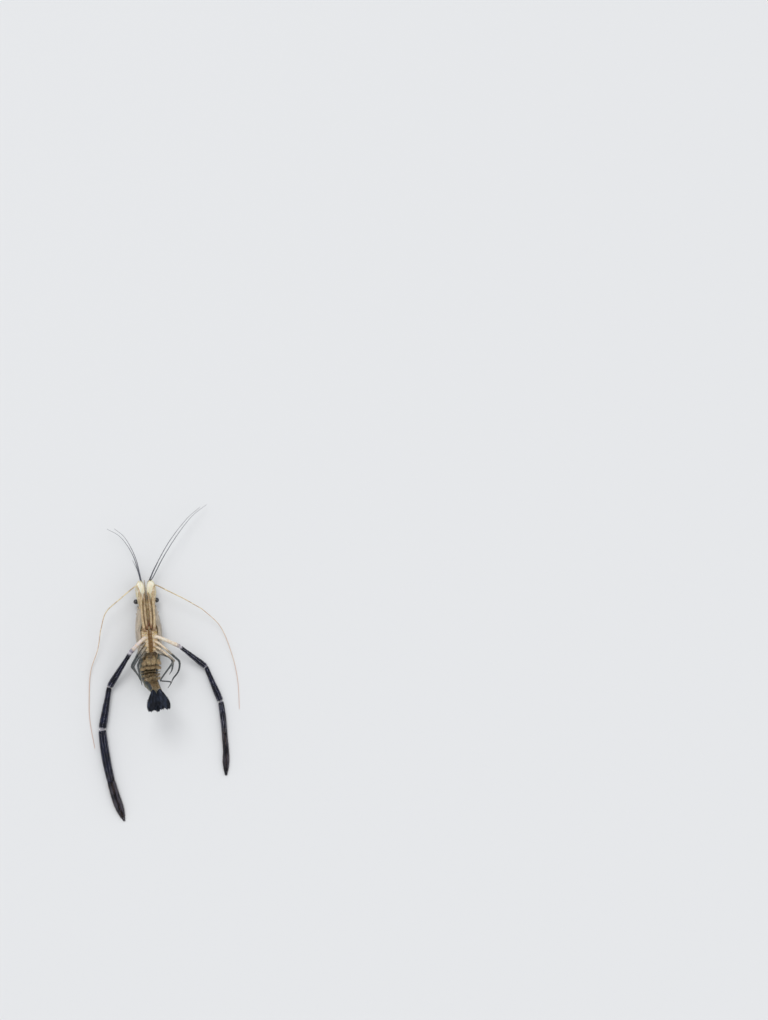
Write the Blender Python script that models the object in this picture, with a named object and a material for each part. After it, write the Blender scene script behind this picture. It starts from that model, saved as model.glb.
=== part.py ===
"""Giant river prawn (Macrobrachium rosenbergii), a long-clawed male, as a still life-size model.

The prawn lies on its back: +Z is its belly side, +Y its head and -X its right side. The flat of the
carapace's back rests on the floor at the origin. All sizes below are millimetres; meshes are metres.
"""

import math
from collections import namedtuple

import bmesh
import bpy
import numpy as np
from mathutils import Vector

MM = 0.001
GAP = 0.3
GROWTH = 0.46
FLOOR = 0.0
SIDES = {"right": -1.0, "left": 1.0}
UP = np.array([0.0, 0.0, 1.0])
ACROSS = np.array([1.0, 0.0, 0.0])
DRAW_SEED = 7

# Sizes of the trunk
CARAPACE_FRONT = 52.0
HEAD_SPLIT = 14.0
HEAD_FRONT = 59.0
EDGE_ANGLE = 135.0
SHELL_WALL = 1.6
FRONT_SLOPE = 0.30
RING_POINTS = 20
CLAW_SIDES = 12

# Carapace stations: y, half width, back z, widest z, edge z, groove floor z, and how many degrees its lower
# margin curves in over the groove
CARAPACE_STATIONS = [
    (-18.0, 15.4, 0.5, 16.0, 27.0, 20.0, 0.0),
    (-13.0, 17.2, -0.7, 17.0, 29.5, 21.0, 0.0),
    (10.0, 18.8, -0.7, 17.5, 30.5, 21.0, 1.0),
    (28.0, 17.4, 0.9, 16.5, 28.0, 17.0, 15.0),
    (42.0, 15.0, 2.2, 15.0, 25.0, 12.5, 15.0),
    (52.0, 12.8, 3.2, 13.6, 22.5, 10.5, 10.0),
]

# Head stations from the mouth to the front: y, top z at the side, height of the vault
HEAD_STATIONS = [(14.3, 27.0, 3.6), (28.0, 24.5, 3.0), (42.0, 21.5, 2.6), (51.5, 19.0, 2.4)]
STERNUM_STATIONS = [(-18.0, 26.5, 5.0), (-10.0, 28.5, 5.4), (4.0, 28.5, 5.4), (13.7, 27.4, 4.2)]
BROW_HALF_WIDTH = 11.4
BROW_LOW = 16.6
BROW_HIGH = 24.0
BROW_REAR = 52.4
BROW_STEP = 0.05
BROW_STATIONS = ((BROW_REAR, 1.0), (57.5, 0.98), (HEAD_FRONT, 0.84))

# Snout: middle z, half height, half width; then the places and width shares along it
SNOUT = (13.9, 3.0, 5.2)
SNOUT_SHARES = ((50.8, 1.0), (56.0, 1.0), (57.0, 0.85))

# Abdomen: length along its middle, pitch towards the belly in degrees, half width, half depth; joints' sways
SOMITES = [
    (10.0, 5.0, 14.2, 13.2),
    (13.0, 15.0, 14.6, 13.4),
    (17.0, 40.0, 13.4, 13.0),
    (13.0, 60.0, 11.2, 11.6),
    (12.0, 66.0, 9.6, 10.2),
    (15.0, 60.0, 8.2, 8.8),
]
TAIL_END = (7.2, 6.8)
TAIL_SWAYS = (0.0, -1.6, -3.3, -4.0, -3.4, -1.5, 1.2)
ABDOMEN_START = (-18.3, 16.2)
PLEURA_DROP = 0.92
PLEURA_ROUND = 0.24
BELLY_LEVEL = 0.42

# Stations along one somite: share of its length and swell of its ring
SOMITE_SWELL = ((0.0, 0.945), (0.15, 0.985), (0.5, 1.0), (0.85, 1.015), (1.0, 1.01))

# Tail fan: length, half width and height above the middle of the tail, then the blades' spread in degrees
FAN_PITCH = 24.0
FAN_TURN = 22.0
FAN_ROOT_INSET = 1.2
FAN_ROOT_OUT = 2.6
FAN_ROOT_STEP = 0.5
TELSON = (29.0, 4.2, -3.4)
BLADES = {"endopod": (28.0, 4.2, 0.1), "exopod": (31.0, 5.2, 2.9)}
SPREADS = {"right": {"endopod": 5.5, "exopod": 12.5}, "left": {"endopod": 6.5, "exopod": 18.0}}
TELSON_THICKNESS = 2.6
BLADE_THICKNESS = 1.2
RIDGE_HEIGHT = 0.2

# Front of the head
EYE = (14.4, 56.6, 14.2)
EYE_RADIUS = 3.7
EYESTALK_ROOT = (4.4, 53.2, 13.8)
EYESTALK_NECK = 6.0
EYESTALK_RADII = (2.1, 1.9, 3.1)
EYE_SEAT = 1.4
SCALE_ROOT = (8.3, 52.5, 18.9)
SCALE_TIP = (7.6, 84.5, 18.6)
SCALE_HALF_WIDTH = 5.7
SCALE_THICKNESS = 1.1
SCALE_ROLL = 0.12

# Rostrum stations: y, middle z, half height, half width
ROSTRUM_STATIONS = [
    (52.4, 6.9, 3.4, 2.6), (58.0, 6.3, 4.0, 1.7), (68.0, 5.9, 4.0, 1.1),
    (78.0, 4.4, 2.6, 0.8), (88.0, 2.2, 0.5, 0.35),
]

# Rows of teeth on the rostrum: ring point, number of teeth, first and last share; a tooth's length and radius
ROSTRUM_TEETH = [(9, 12, 0.10, 0.92), (3, 10, 0.42, 0.93)]
TOOTH = (1.5, 0.6)
ROSTRUM_LEAN_REACH = 12.0
ROSTRUM_SIDES = 12

# Upper lip and jaws: centre as distance out, y and z, then radii
LIP = ((0.0, 21.5, 28.6), (3.6, 3.0, 2.2))
JAW = ((6.0, 20.6, 27.7), (3.9, 3.8, 3.1))

# Spines at the carapace's front: foot as distance out, y and z, then direction
SHELL_SPINES = [((12.7, 46.0, 18.5), (0.10, 1.0, 0.10)), ((15.0, 38.0, 16.5), (0.45, 1.0, 0.05))]
SHELL_SPINE = (2.6, 0.9)

Claw = namedtuple("Claw", "root shoulder ischium merus carpus palm knuckle bend tip sizes")

# Claw joints as distance out from the midline, y and z, then half widths from root to tip
CLAWS = {
    "right": Claw(
        (4.6, 4.6, 30.5), (14.5, -2.8, 37.0), (27.2, -14.6, 32.0), (59.0, -59.8, 7.2), (72.4, -117.0, 5.2),
        (70.4, -152.0, 5.1), (65.0, -190.0, 4.6), (60.0, -213.0, 3.6), (50.9, -245.6, 1.2),
        (2.7, 3.1, 4.2, 4.9, 5.6, 5.2),
    ),
    "left": Claw(
        (4.6, 4.2, 30.5), (14.5, 0.6, 35.8), (40.4, -13.2, 27.0), (77.7, -45.7, 6.4), (95.2, -97.7, 4.3),
        (96.8, -122.0, 4.2), (96.9, -143.5, 3.9), (97.0, -168.0, 3.0), (94.4, -203.0, 1.6),
        (2.5, 2.8, 3.7, 4.1, 4.1, 3.7),
    ),
}

# Rows of spines on the claws: ring points of the rows, and spines in a row on the right and left claw
CLAW_SPINES = {
    "merus": ((0, 2, 4, 6), {"right": 5, "left": 4}),
    "carpus": ((0, 2, 4, 6), {"right": 6, "left": 5}),
    "palm": ((0, 2, 4, 6, 7), {"right": 6, "left": 5}),
}
CLAW_SPINE = (0.32, 0.11)
SEGMENT_WAIST = (0.92, 0.86, 0.95, 1.04, 1.1, 0.98)
PALM_WIDTHS = (0.86, 0.97, 1.0, 0.99, 0.96, 0.9)
FINGER_WIDTHS = {"right": (1.0, 1.08, 0.98, 0.26), "left": (1.0, 1.08, 1.18, 0.46)}
FINGER_DEPTH = 0.74
FINGER_SLACK = 0.02
SHOULDER_SHARE = 0.95
CARPUS_SHARE = 0.96
PALM_FLATNESS = 0.97
SPINE_SINK = 0.7
SPINE_TIP = 0.08

# How far spines lean out of a limb and along it, and the limits of the draw of their places and lengths
SPINE_LEAN = (0.8, 0.6)
SPINE_PLACES = (0.35, 0.65)
SPINE_LENGTHS = (0.75, 1.1)

# Walking legs and mouth legs: points as distance out, y and z with the radius there
LEGS = {
    "pereiopod3_left": [
        (4.6, -2.5, 30.0, 1.7), (12.5, -7.5, 36.0, 1.75), (32.3, -28.0, 34.0, 1.5),
        (38.6, -36.4, 31.0, 1.5), (36.3, -48.6, 26.0, 1.15), (28.7, -58.0, 21.0, 0.95),
        (26.4, -63.3, 17.5, 0.3),
    ],
    "pereiopod4_left": [
        (4.6, -8.5, 30.0, 1.7), (11.6, -14.4, 37.2, 1.75), (28.6, -31.2, 41.0, 1.5),
        (28.0, -35.8, 44.0, 1.35), (9.6, -56.2, 66.0, 1.05), (9.8, -59.6, 68.5, 0.95),
        (21.6, -62.6, 66.0, 0.85), (17.4, -70.0, 66.0, 0.3),
    ],
    "pereiopod5_left": [
        (4.6, -14.5, 29.5, 1.7), (11.0, -20.2, 34.4, 1.7), (25.0, -27.5, 31.0, 1.45),
        (29.4, -35.0, 28.0, 1.45), (27.4, -45.5, 29.0, 0.95), (23.4, -51.5, 31.0, 0.3),
    ],
    "pereiopod3_right": [
        (4.6, -2.5, 30.0, 1.7), (11.8, -8.2, 35.0, 1.75), (21.0, -23.5, 34.0, 1.5),
        (27.2, -34.0, 30.5, 1.45), (25.0, -39.5, 28.0, 1.05), (21.6, -44.5, 25.0, 0.9),
        (19.4, -49.0, 23.0, 0.3),
    ],
    "pereiopod4_right": [
        (4.6, -8.5, 30.0, 1.7), (11.0, -15.0, 37.4, 1.75), (23.5, -31.5, 43.0, 1.5),
        (25.6, -36.5, 44.0, 1.35), (23.5, -42.0, 46.5, 1.05), (19.8, -50.0, 50.5, 0.9),
        (18.6, -55.0, 53.5, 0.3),
    ],
    "pereiopod5_right": [
        (4.6, -14.5, 29.5, 1.7), (11.2, -20.6, 34.6, 1.7), (17.6, -31.0, 36.2, 1.45),
        (19.0, -37.0, 36.6, 1.3), (17.6, -51.0, 41.0, 0.95), (16.0, -62.5, 45.0, 0.3),
    ],
}
PEREIOPOD1 = [
    (4.2, 10.0, 30.0, 2.0), (7.0, 15.5, 34.4, 2.0), (8.4, 33.0, 32.6, 1.6), (8.4, 49.0, 31.4, 1.5),
    (8.0, 57.0, 31.0, 1.5), (7.0, 60.0, 30.9, 0.8), (6.5, 66.5, 30.6, 0.35),
]

# Second finger of the first leg's small pincer: foot as distance out, y and z, length and radius
PINCER = ((8.9, 57.2, 31.0), 9.2, 0.8)
MAXILLIPED = [
    (2.4, 15.2, 29.4, 1.9), (3.1, 17.8, 33.4, 1.8), (3.7, 28.0, 32.6, 1.8), (3.8, 40.0, 29.6, 1.8),
    (3.4, 54.0, 26.4, 1.5), (3.0, 67.5, 25.0, 0.4),
]

# Feelers: points as distance out, y and z; the second length starts where the first ends
ANTENNA_BASE = [
    (8.7, 50.5, 22.9, 2.9), (9.3, 61.0, 24.4, 2.7), (10.0, 70.0, 25.2, 1.7), (11.4, 76.0, 25.6, 1.0),
]
ANTENNAE = {
    "right": (
        [(14.6, 77.6, 25.6), (38.7, 60.0, 27.0), (57.5, 44.0, 23.0), (66.0, 20.0, 16.0)],
        [
            (66.2, 19.4, 15.9), (71.5, -6.0, 9.0), (83.0, -36.0, 3.0), (87.5, -77.0, 1.1),
            (88.0, -105.0, 1.0), (84.0, -142.0, 0.8),
        ],
    ),
    "left": (
        [(14.6, 77.0, 25.6), (30.0, 67.5, 28.0), (54.0, 53.0, 26.0), (78.0, 37.0, 20.0)],
        [
            (78.5, 36.6, 19.8), (103.0, 10.0, 11.0), (117.0, -30.0, 3.6), (123.0, -70.0, 1.1),
            (122.0, -112.0, 0.8),
        ],
    ),
}
ANTENNULE_BASE = [
    (3.3, 56.0, 14.0, 2.8), (3.6, 66.0, 14.4, 2.7), (4.2, 76.0, 15.2, 2.2), (5.0, 84.0, 16.0, 1.6),
]
ANTENNULES = {
    "right": [
        [(5.2, 83.0, 16.2), (13.9, 121.0, 22.0), (29.0, 150.0, 20.0), (47.5, 165.0, 14.0)],
        [(4.6, 83.0, 16.6), (11.5, 119.0, 26.0), (24.0, 148.0, 28.0), (38.0, 163.0, 26.0)],
        [(5.6, 83.0, 15.4), (9.4, 102.0, 15.0), (15.0, 117.0, 12.0)],
    ],
    "left": [
        [
            (5.4, 83.0, 16.2), (11.8, 90.0, 18.0), (28.6, 118.0, 22.0), (51.0, 149.0, 22.0),
            (74.4, 175.5, 17.0), (98.0, 193.0, 9.0),
        ],
        [
            (4.6, 83.0, 16.6), (15.5, 104.0, 26.0), (38.0, 139.0, 29.0), (65.0, 170.0, 27.5),
            (86.0, 187.0, 24.0),
        ],
        [(5.8, 83.0, 15.4), (13.0, 98.0, 14.0), (21.0, 112.0, 11.0)],
    ],
}
FEELER_RADII = {"antenna": (0.9, 0.3), "antennule": (0.7, 0.28)}
WHIP_SINK = 1.5

# Swimming legs: distance out, length, half width; then each leaf's lean outwards and its layer
PLEOPODS = [(5.2, 16.0, 3.3), (5.4, 18.0, 3.7), (4.8, 17.0, 3.5), (4.3, 15.0, 3.0), (3.9, 12.5, 2.6)]
PLEOPOD_LEAVES = (("outer", 0.30, 0.55), ("inner", -0.14, -0.55))
PLEOPOD_STALK = 7.0
PLEOPOD_STALK_RADII = (2.0, 1.7)
PLEOPOD_STALK_FLATNESS = 0.6
PLEOPOD_ROOT_SINK = 1.0
PLEOPOD_LIE = (0.75, 0.66)
PLEOPOD_SPACING = 3.1
PLEOPOD_LEAF_SHARE = 0.62
PLEOPOD_LEAF_THICKNESS = 0.9

# Leaves: where along them they are widest, reach of the rounded end, least width, and thinning to the edges
LEAF_SHOULDER = 0.62
LEAF_END = 0.385
LEAF_LEAST = 0.12
LEAF_THINNING = 0.35

# Colours of the looks: red, green, blue and roughness
COLOURS = {
    "shell": (0.30, 0.27, 0.20, 0.35),
    "belly": (0.62, 0.50, 0.36, 0.45),
    "claw_blue": (0.02, 0.03, 0.09, 0.35),
    "claw_joint": (0.55, 0.50, 0.46, 0.45),
    "leg": (0.14, 0.16, 0.17, 0.40),
    "pale_leg": (0.62, 0.52, 0.40, 0.45),
    "feeler_dark": (0.05, 0.05, 0.08, 0.45),
    "feeler_pale": (0.50, 0.38, 0.28, 0.45),
    "scale_cream": (0.78, 0.72, 0.52, 0.40),
    "mouth_brown": (0.28, 0.13, 0.06, 0.50),
    "eye_black": (0.01, 0.01, 0.01, 0.12),
    "fan_blue": (0.02, 0.025, 0.05, 0.40),
    "pleopod_yellow": (0.42, 0.32, 0.16, 0.50),
}


def look(name):
    """The material of one finish, made once and shared by its nodes."""
    made = bpy.data.materials.get(name)
    if made:
        return made
    red, green, blue, roughness = COLOURS[name]
    made = bpy.data.materials.new(name)
    made.use_nodes = True
    shader = made.node_tree.nodes["Principled BSDF"]
    shader.inputs["Base Color"].default_value = (red, green, blue, 1.0)
    shader.inputs["Roughness"].default_value = roughness
    shader.inputs["Metallic"].default_value = 0.0
    return made


def body(name, points, faces, finish):
    """A closed mesh object from points in millimetres, its faces turned outwards."""
    mesh = bpy.data.meshes.new(name)
    mesh.from_pydata((np.asarray(points) * MM).tolist(), [], faces)
    shape = bmesh.new()
    shape.from_mesh(mesh)
    bmesh.ops.recalc_face_normals(shape, faces=shape.faces)
    shape.to_mesh(mesh)
    shape.free()
    mesh.materials.append(look(finish))
    made = bpy.data.objects.new(name, mesh)
    prawn.objects.link(made)
    return made


def loft(name, rings, finish):
    """A body through rings of equally many points, closed by a face over each end.

    Points below the floor are raised to it, which makes the flats that the prawn lies on."""
    rings = np.array(rings, dtype=float)
    rings[..., 2] = np.maximum(rings[..., 2], FLOOR)
    stations, count, _ = rings.shape
    faces = [list(range(count)), list(range((stations - 1) * count, stations * count))]
    for s in range(stations - 1):
        for k in range(count):
            a, b = s * count + k, s * count + (k + 1) % count
            faces += [(a, b, b + count), (a, b + count, a + count)]
    return body(name, rings.reshape(-1, 3), faces, finish)


def through(rows, count):
    """Rows read from a Catmull-Rom curve that passes through the given rows, count to each stretch."""
    rows = np.asarray(rows, dtype=float)
    padded = np.vstack([2 * rows[0] - rows[1], rows, 2 * rows[-1] - rows[-2]])
    t = np.linspace(0.0, 1.0, count, endpoint=False)[:, None]
    pieces = []
    for a, b, c, d in zip(padded, padded[1:], padded[2:], padded[3:]):
        square = 2 * a - 5 * b + 4 * c - d
        cube = 3 * b - a - 3 * c + d
        pieces.append(0.5 * (2 * b + (c - a) * t + square * t**2 + cube * t**3))
    return np.vstack(pieces + [rows[-1:]])


def unit(vectors):
    """Vectors scaled to length one."""
    vectors = np.asarray(vectors, dtype=float)
    return vectors / np.linalg.norm(vectors, axis=-1, keepdims=True)


def ellipse(half_width, half_depth, count):
    """Points round an ellipse, as across and up."""
    turn = np.arange(count) * 2 * math.pi / count
    return np.stack([half_width * np.cos(turn), half_depth * np.sin(turn)], axis=1)


def set_in(outline, centre, across, up):
    """A flat outline of across and up placed in space."""
    return np.asarray(centre) + outline[:, :1] * across + outline[:, 1:] * up


def round_rings(rows, sides, first_normal=None, last_normal=None, flatness=1.0):
    """Rings of rows x, y, z, half width square to their path, or to the normals given for its ends."""
    rows = np.asarray(rows, dtype=float)
    normals = unit(np.gradient(rows[:, :3], axis=0))
    if first_normal is not None:
        normals[0] = first_normal
    if last_normal is not None:
        normals[-1] = last_normal
    rings = []
    for row, normal in zip(rows, normals):
        across = unit(np.cross(normal, UP))
        outline = ellipse(row[3], row[3] * flatness, sides)
        rings.append(set_in(outline, row[:3], across, np.cross(across, normal)))
    return rings


def mirrored(rows, side):
    """Rows whose first number is a distance out, set on one side of the midline."""
    rows = np.array(rows, dtype=float)
    rows[:, 0] *= side
    return rows


def baked(made):
    """The object with its modifiers applied to its mesh."""
    graph = bpy.context.evaluated_depsgraph_get()
    mesh = bpy.data.meshes.new_from_object(made.evaluated_get(graph))
    made.modifiers.clear()
    made.data = mesh
    return made


def keep_largest(made):
    """Keeps the largest closed surface of an object, so that it stays one body."""
    shape = bmesh.new()
    shape.from_mesh(made.data)
    bmesh.ops.remove_doubles(shape, verts=shape.verts, dist=1e-6)
    waiting, largest = set(shape.verts), set()
    while waiting:
        island, border = set(), {next(iter(waiting))}
        while border:
            island |= border
            reached = {other for vert in border for edge in vert.link_edges for other in edge.verts}
            border = reached - island
        waiting -= island
        largest = max(largest, island, key=len)
    bmesh.ops.delete(shape, geom=[v for v in shape.verts if v not in largest], context="VERTS")
    shape.to_mesh(made.data)
    shape.free()
    return made


def grown(made):
    """A copy of an object with its surface moved outwards by the gap between nodes, as a cutter."""
    copy = bpy.data.objects.new(made.name + "_grown", made.data.copy())
    cutters.objects.link(copy)
    copy.hide_render = True
    copy.display_type = "WIRE"
    shape = bmesh.new()
    shape.from_mesh(copy.data)
    shape.normal_update()
    moves = [(vert, vert.normal * GROWTH * MM) for vert in shape.verts]
    for vert, move in moves:
        vert.co += move
    shape.to_mesh(copy.data)
    shape.free()
    return copy


def cut_clear(made, *neighbours):
    """Cuts an object back from its neighbours, so that it meets them face to face with a gap."""
    for neighbour in neighbours:
        cutter = bpy.data.objects.get(neighbour.name + "_grown") or grown(neighbour)
        cut = made.modifiers.new("clear", "BOOLEAN")
        cut.operation = "DIFFERENCE"
        cut.object = cutter
    return keep_largest(baked(made))


def fuse(made, *others):
    """Joins closed pieces into one node by a union, and removes the pieces."""
    pieces = bpy.data.collections.new(made.name + "_pieces")
    for other in others:
        pieces.objects.link(other)
    join = made.modifiers.new("join", "BOOLEAN")
    join.operation = "UNION"
    join.operand_type = "COLLECTION"
    join.collection = pieces
    baked(made)
    for other in others:
        bpy.data.objects.remove(other)
    bpy.data.collections.remove(pieces)
    return keep_largest(made)


def wire(name, points, radii, finish, steps=4):
    """A tapering feeler: a curve with a round bevel, read as a mesh with its end caps welded."""
    route = through(points, steps)
    curve = bpy.data.curves.new(name, "CURVE")
    curve.dimensions = "3D"
    curve.bevel_depth = MM
    curve.bevel_resolution = 1
    curve.use_fill_caps = True
    line = curve.splines.new("POLY")
    line.points.add(len(route) - 1)
    for point, place, radius in zip(line.points, route, np.linspace(radii[0], radii[1], len(route))):
        point.co = (*(place * MM), 1.0)
        point.radius = radius
    guide = bpy.data.objects.new(name + "_guide", curve)
    prawn.objects.link(guide)
    graph = bpy.context.evaluated_depsgraph_get()
    mesh = bpy.data.meshes.new_from_object(guide.evaluated_get(graph))
    shape = bmesh.new()
    shape.from_mesh(mesh)
    bmesh.ops.remove_doubles(shape, verts=shape.verts, dist=1e-6)
    bmesh.ops.recalc_face_normals(shape, faces=shape.faces)
    shape.to_mesh(mesh)
    shape.free()
    made = bpy.data.objects.new(name, mesh)
    made.matrix_world = guide.matrix_world
    mesh.materials.append(look(finish))
    prawn.objects.link(made)
    bpy.data.objects.remove(guide)
    return made


def ball(name, centre, radii, finish, around=12, rings=8):
    """An ellipsoid from a sphere primitive."""
    shape = bmesh.new()
    bmesh.ops.create_uvsphere(shape, u_segments=around, v_segments=rings, radius=1.0)
    bmesh.ops.scale(shape, vec=np.asarray(radii) * MM, verts=shape.verts)
    bmesh.ops.translate(shape, vec=np.asarray(centre) * MM, verts=shape.verts)
    mesh = bpy.data.meshes.new(name)
    shape.to_mesh(mesh)
    shape.free()
    mesh.materials.append(look(finish))
    made = bpy.data.objects.new(name, mesh)
    prawn.objects.link(made)
    return made


def spine(foot, direction, length, radius, finish, sides=4):
    """A spine as a cone, its root sunk into the surface at its foot, for a union with its node."""
    shape = bmesh.new()
    depth = length + SPINE_SINK
    bmesh.ops.create_cone(
        shape, cap_ends=True, segments=sides, radius1=radius * MM, radius2=SPINE_TIP * MM, depth=depth * MM
    )
    turn = Vector(UP).rotation_difference(Vector(direction)).to_matrix()
    bmesh.ops.rotate(shape, matrix=turn, verts=shape.verts)
    centre = np.asarray(foot) + np.asarray(direction) * (depth / 2 - SPINE_SINK)
    bmesh.ops.translate(shape, vec=centre * MM, verts=shape.verts)
    mesh = bpy.data.meshes.new("spine")
    shape.to_mesh(mesh)
    shape.free()
    mesh.materials.append(look(finish))
    made = bpy.data.objects.new("spine", mesh)
    prawn.objects.link(made)
    return made


def read_at(path, share):
    """The place at a share of the way along a path of points."""
    spot = share * (len(path) - 1)
    low = min(int(spot), len(path) - 2)
    return path[low] + (path[low + 1] - path[low]) * (spot - low)


def spine_row(rings, point, count, length, radius, finish, first=0.1, last=0.9):
    """A row of spines along a limb at one point of its rings, each leaning towards the limb's tip.

    Their lengths and places vary a little, by the seeded draw."""
    rings = np.array(rings)
    middle = rings.mean(axis=1)
    along = unit(middle[-1] - middle[0])
    made = []
    for step in range(count):
        share = first + (last - first) * (step + chance.uniform(*SPINE_PLACES)) / count
        foot = read_at(rings[:, point], share)
        out = unit(foot - read_at(middle, share))
        towards = unit(SPINE_LEAN[0] * out + SPINE_LEAN[1] * along)
        made.append(spine(foot, towards, length * chance.uniform(*SPINE_LENGTHS), radius, finish))
    return made


def leaf(
    name, root, tip, across, half_width, thickness, finish,
    camber=0.0, blunt=0.35, points=8, rows=5, ridge=0.0,
):
    """A leaf-shaped plate from root to tip, wide in its outer half, split alike on both faces.

    Its half width follows a rounded outline, its middle line is raised by the camber, and every second
    row of points is raised on both faces as a ridge."""
    root, tip = np.asarray(root, dtype=float), np.asarray(tip, dtype=float)
    along = unit(tip - root)
    across = unit(across - along * np.dot(across, along))
    up = np.cross(across, along)
    u = np.linspace(0.0, 1.0, points)
    width = half_width * (blunt + (1 - blunt) * np.sin(np.minimum(u / LEAF_SHOULDER, 1.0) * math.pi / 2))
    beyond = np.clip((u - LEAF_SHOULDER) / LEAF_END, 0.0, 1.0)
    width = np.maximum(width * np.sqrt(1.0 - beyond**2), LEAF_LEAST * half_width)
    v = np.linspace(-1.0, 1.0, rows)
    rings = []
    for station, wide in zip(u, width):
        centre = root + (tip - root) * station
        bow = camber * (1 - v**2)
        thick = 0.5 * thickness * (1.0 - LEAF_THINNING * v**2) + ridge * (np.arange(rows) % 2)
        upper = centre + np.outer(v * wide, across) + np.outer(bow + thick, up)
        lower = centre + np.outer(v * wide, across) + np.outer(bow - thick, up)
        rings.append(np.vstack([upper, lower[::-1]]))
    return plate(name, rings, finish)


def plate(name, rings, finish):
    """A body through rings whose first half is the upper face and second half the lower one.

    The lower face is split along the same diagonals as the upper one."""
    rings = np.array(rings, dtype=float)
    stations, count, _ = rings.shape
    half = count // 2
    faces = [list(range(count)), list(range((stations - 1) * count, stations * count))]
    for s in range(stations - 1):
        for k in range(count):
            a, b = s * count + k, s * count + (k + 1) % count
            c, d = b + count, a + count
            if k < half:
                faces += [(a, b, c), (a, c, d)]
            else:
                faces += [(a, b, d), (b, c, d)]
    return body(name, rings.reshape(-1, 3), faces, finish)


def shell_outline(half_width, back, middle, edge, groove, tuck=0.0, count=RING_POINTS):
    """The cross-section of a shell that is open on the belly side, as across and up.

    It runs round the back from edge to edge as two unlike half ellipses, then along a flat-floored
    groove that holds the soft parts of the belly. The groove's half width leaves the shell's wall, and the
    tuck carries the margins on round the same curve, in over the groove."""
    reach = math.radians(EDGE_ANGLE)
    turn = np.linspace(-reach - math.radians(tuck), reach + math.radians(tuck), count + 1)
    below = middle - back
    above = (edge - middle) / -math.cos(reach)
    up = middle - np.where(np.cos(turn) > 0, below, above) * np.cos(turn)
    outer = np.stack([half_width * np.sin(turn), up], axis=1)
    inner = half_width * math.sin(reach) - SHELL_WALL
    return np.vstack([outer, [(inner, edge - 0.3), (inner, groove), (-inner, groove), (-inner, edge - 0.3)]])


def groove_half_width(half_width):
    """Half the width of the groove in a shell of this half width."""
    return half_width * math.sin(math.radians(EDGE_ANGLE)) - SHELL_WALL


def lean_front(rings):
    """Slopes the head end back towards the belly, more and more from the mouth to the front."""
    rings = np.array(rings, dtype=float)
    share = np.clip((rings[..., 1] - HEAD_SPLIT - 1.0) / (CARAPACE_FRONT - HEAD_SPLIT), 0.0, 1.0)
    rings[..., 1] -= FRONT_SLOPE * share * (rings[..., 2] - CARAPACE_STATIONS[-1][2])
    return rings


def carapace_rows():
    """Carapace stations read from a smooth curve, with the flat of the back kept level."""
    return through(CARAPACE_STATIONS, 3)


def at_y(y, column):
    """One column of the carapace stations at a place along the body."""
    rows = carapace_rows()
    return np.interp(y, rows[:, 0], rows[:, column])


def make_carapace():
    """The carapace: back, sides and the groove for the belly."""
    rings = []
    for y, half_width, back, middle, edge, groove, tuck in carapace_rows():
        outline = shell_outline(half_width, back, middle, edge, groove, max(tuck, 0.0))
        rings.append(np.stack([outline[:, 0], np.full(len(outline), y), outline[:, 1]], axis=1))
    made = loft("carapace", lean_front(rings), "shell")
    spines = []
    for side in SIDES.values():
        for foot, direction in SHELL_SPINES:
            place, towards = mirrored([foot, direction], side)
            spines.append(spine(place, unit(towards), *SHELL_SPINE, "shell", 6))
    return fuse(made, *spines)


def vaulted_ring(y, half_width, floor, side, vault, count=9):
    """A ring with a flat floor, upright sides and a low vault towards the belly."""
    turn = np.linspace(0.0, math.pi, count)
    arch = np.stack([half_width * np.cos(turn), np.full(count, y), side + vault * np.sin(turn)], axis=1)
    return np.vstack([arch, [(-half_width, y, floor), (half_width, y, floor)]])


def make_sternum():
    """The breast plates between the legs, in the rear of the carapace's groove."""
    rings = []
    for y, side, vault in through(STERNUM_STATIONS, 3):
        wide = groove_half_width(at_y(y, 1)) - GAP
        rings.append(vaulted_ring(y, wide, at_y(y, 5) + GAP, side, vault))
    return loft("sternum", rings, "belly")


def make_head():
    """The underside of the head, which widens in front of the carapace into the brow."""
    rings = []
    for y, side, vault in through(HEAD_STATIONS, 3):
        wide = groove_half_width(at_y(y, 1)) - GAP
        rings.append(vaulted_ring(y, wide, at_y(y, 5) + GAP, side, vault))
    _, side, vault = HEAD_STATIONS[-1]
    rings.append(vaulted_ring(BROW_REAR - BROW_STEP, rings[-1][0][0], rings[-1][-1][2], side, vault))
    for y, share in BROW_STATIONS:
        rings.append(vaulted_ring(y, BROW_HALF_WIDTH * share, BROW_LOW, side, (BROW_HIGH - side) * share))
    made = loft("head", lean_front(rings), "belly")
    middle, half_height, half_width = SNOUT
    rows = [(0.0, y, middle, half_width * share) for y, share in SNOUT_SHARES]
    return fuse(made, loft("snout", round_rings(rows, 12, flatness=half_height / half_width), "belly"))


def make_rostrum():
    """The rostrum: a blade flattened from side to side, with its tip turned towards the back.

    A row of teeth runs along each of its two edges."""
    rings = []
    for y, middle, half_height, half_width in through(ROSTRUM_STATIONS, 3):
        outline = ellipse(half_width, half_height, ROSTRUM_SIDES)
        rings.append(np.stack([outline[:, 0], np.full(ROSTRUM_SIDES, y), outline[:, 1] + middle], axis=1))
    rings = lean_root(rings)
    made = loft("rostrum", rings, "shell")
    teeth = []
    for point, count, first, last in ROSTRUM_TEETH:
        teeth += spine_row(rings, point, count, *TOOTH, "shell", first, last)
    return fuse(made, *teeth)


def lean_root(rings):
    """Slopes the blade's root like the carapace's front, fading out along the blade."""
    rings = np.array(rings, dtype=float)
    fade = np.clip(1.0 - (rings[..., 1] - CARAPACE_FRONT) / ROSTRUM_LEAN_REACH, 0.0, 1.0)
    rings[..., 1] -= FRONT_SLOPE * fade * (rings[..., 2] - CARAPACE_STATIONS[-1][2])
    return rings


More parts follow.
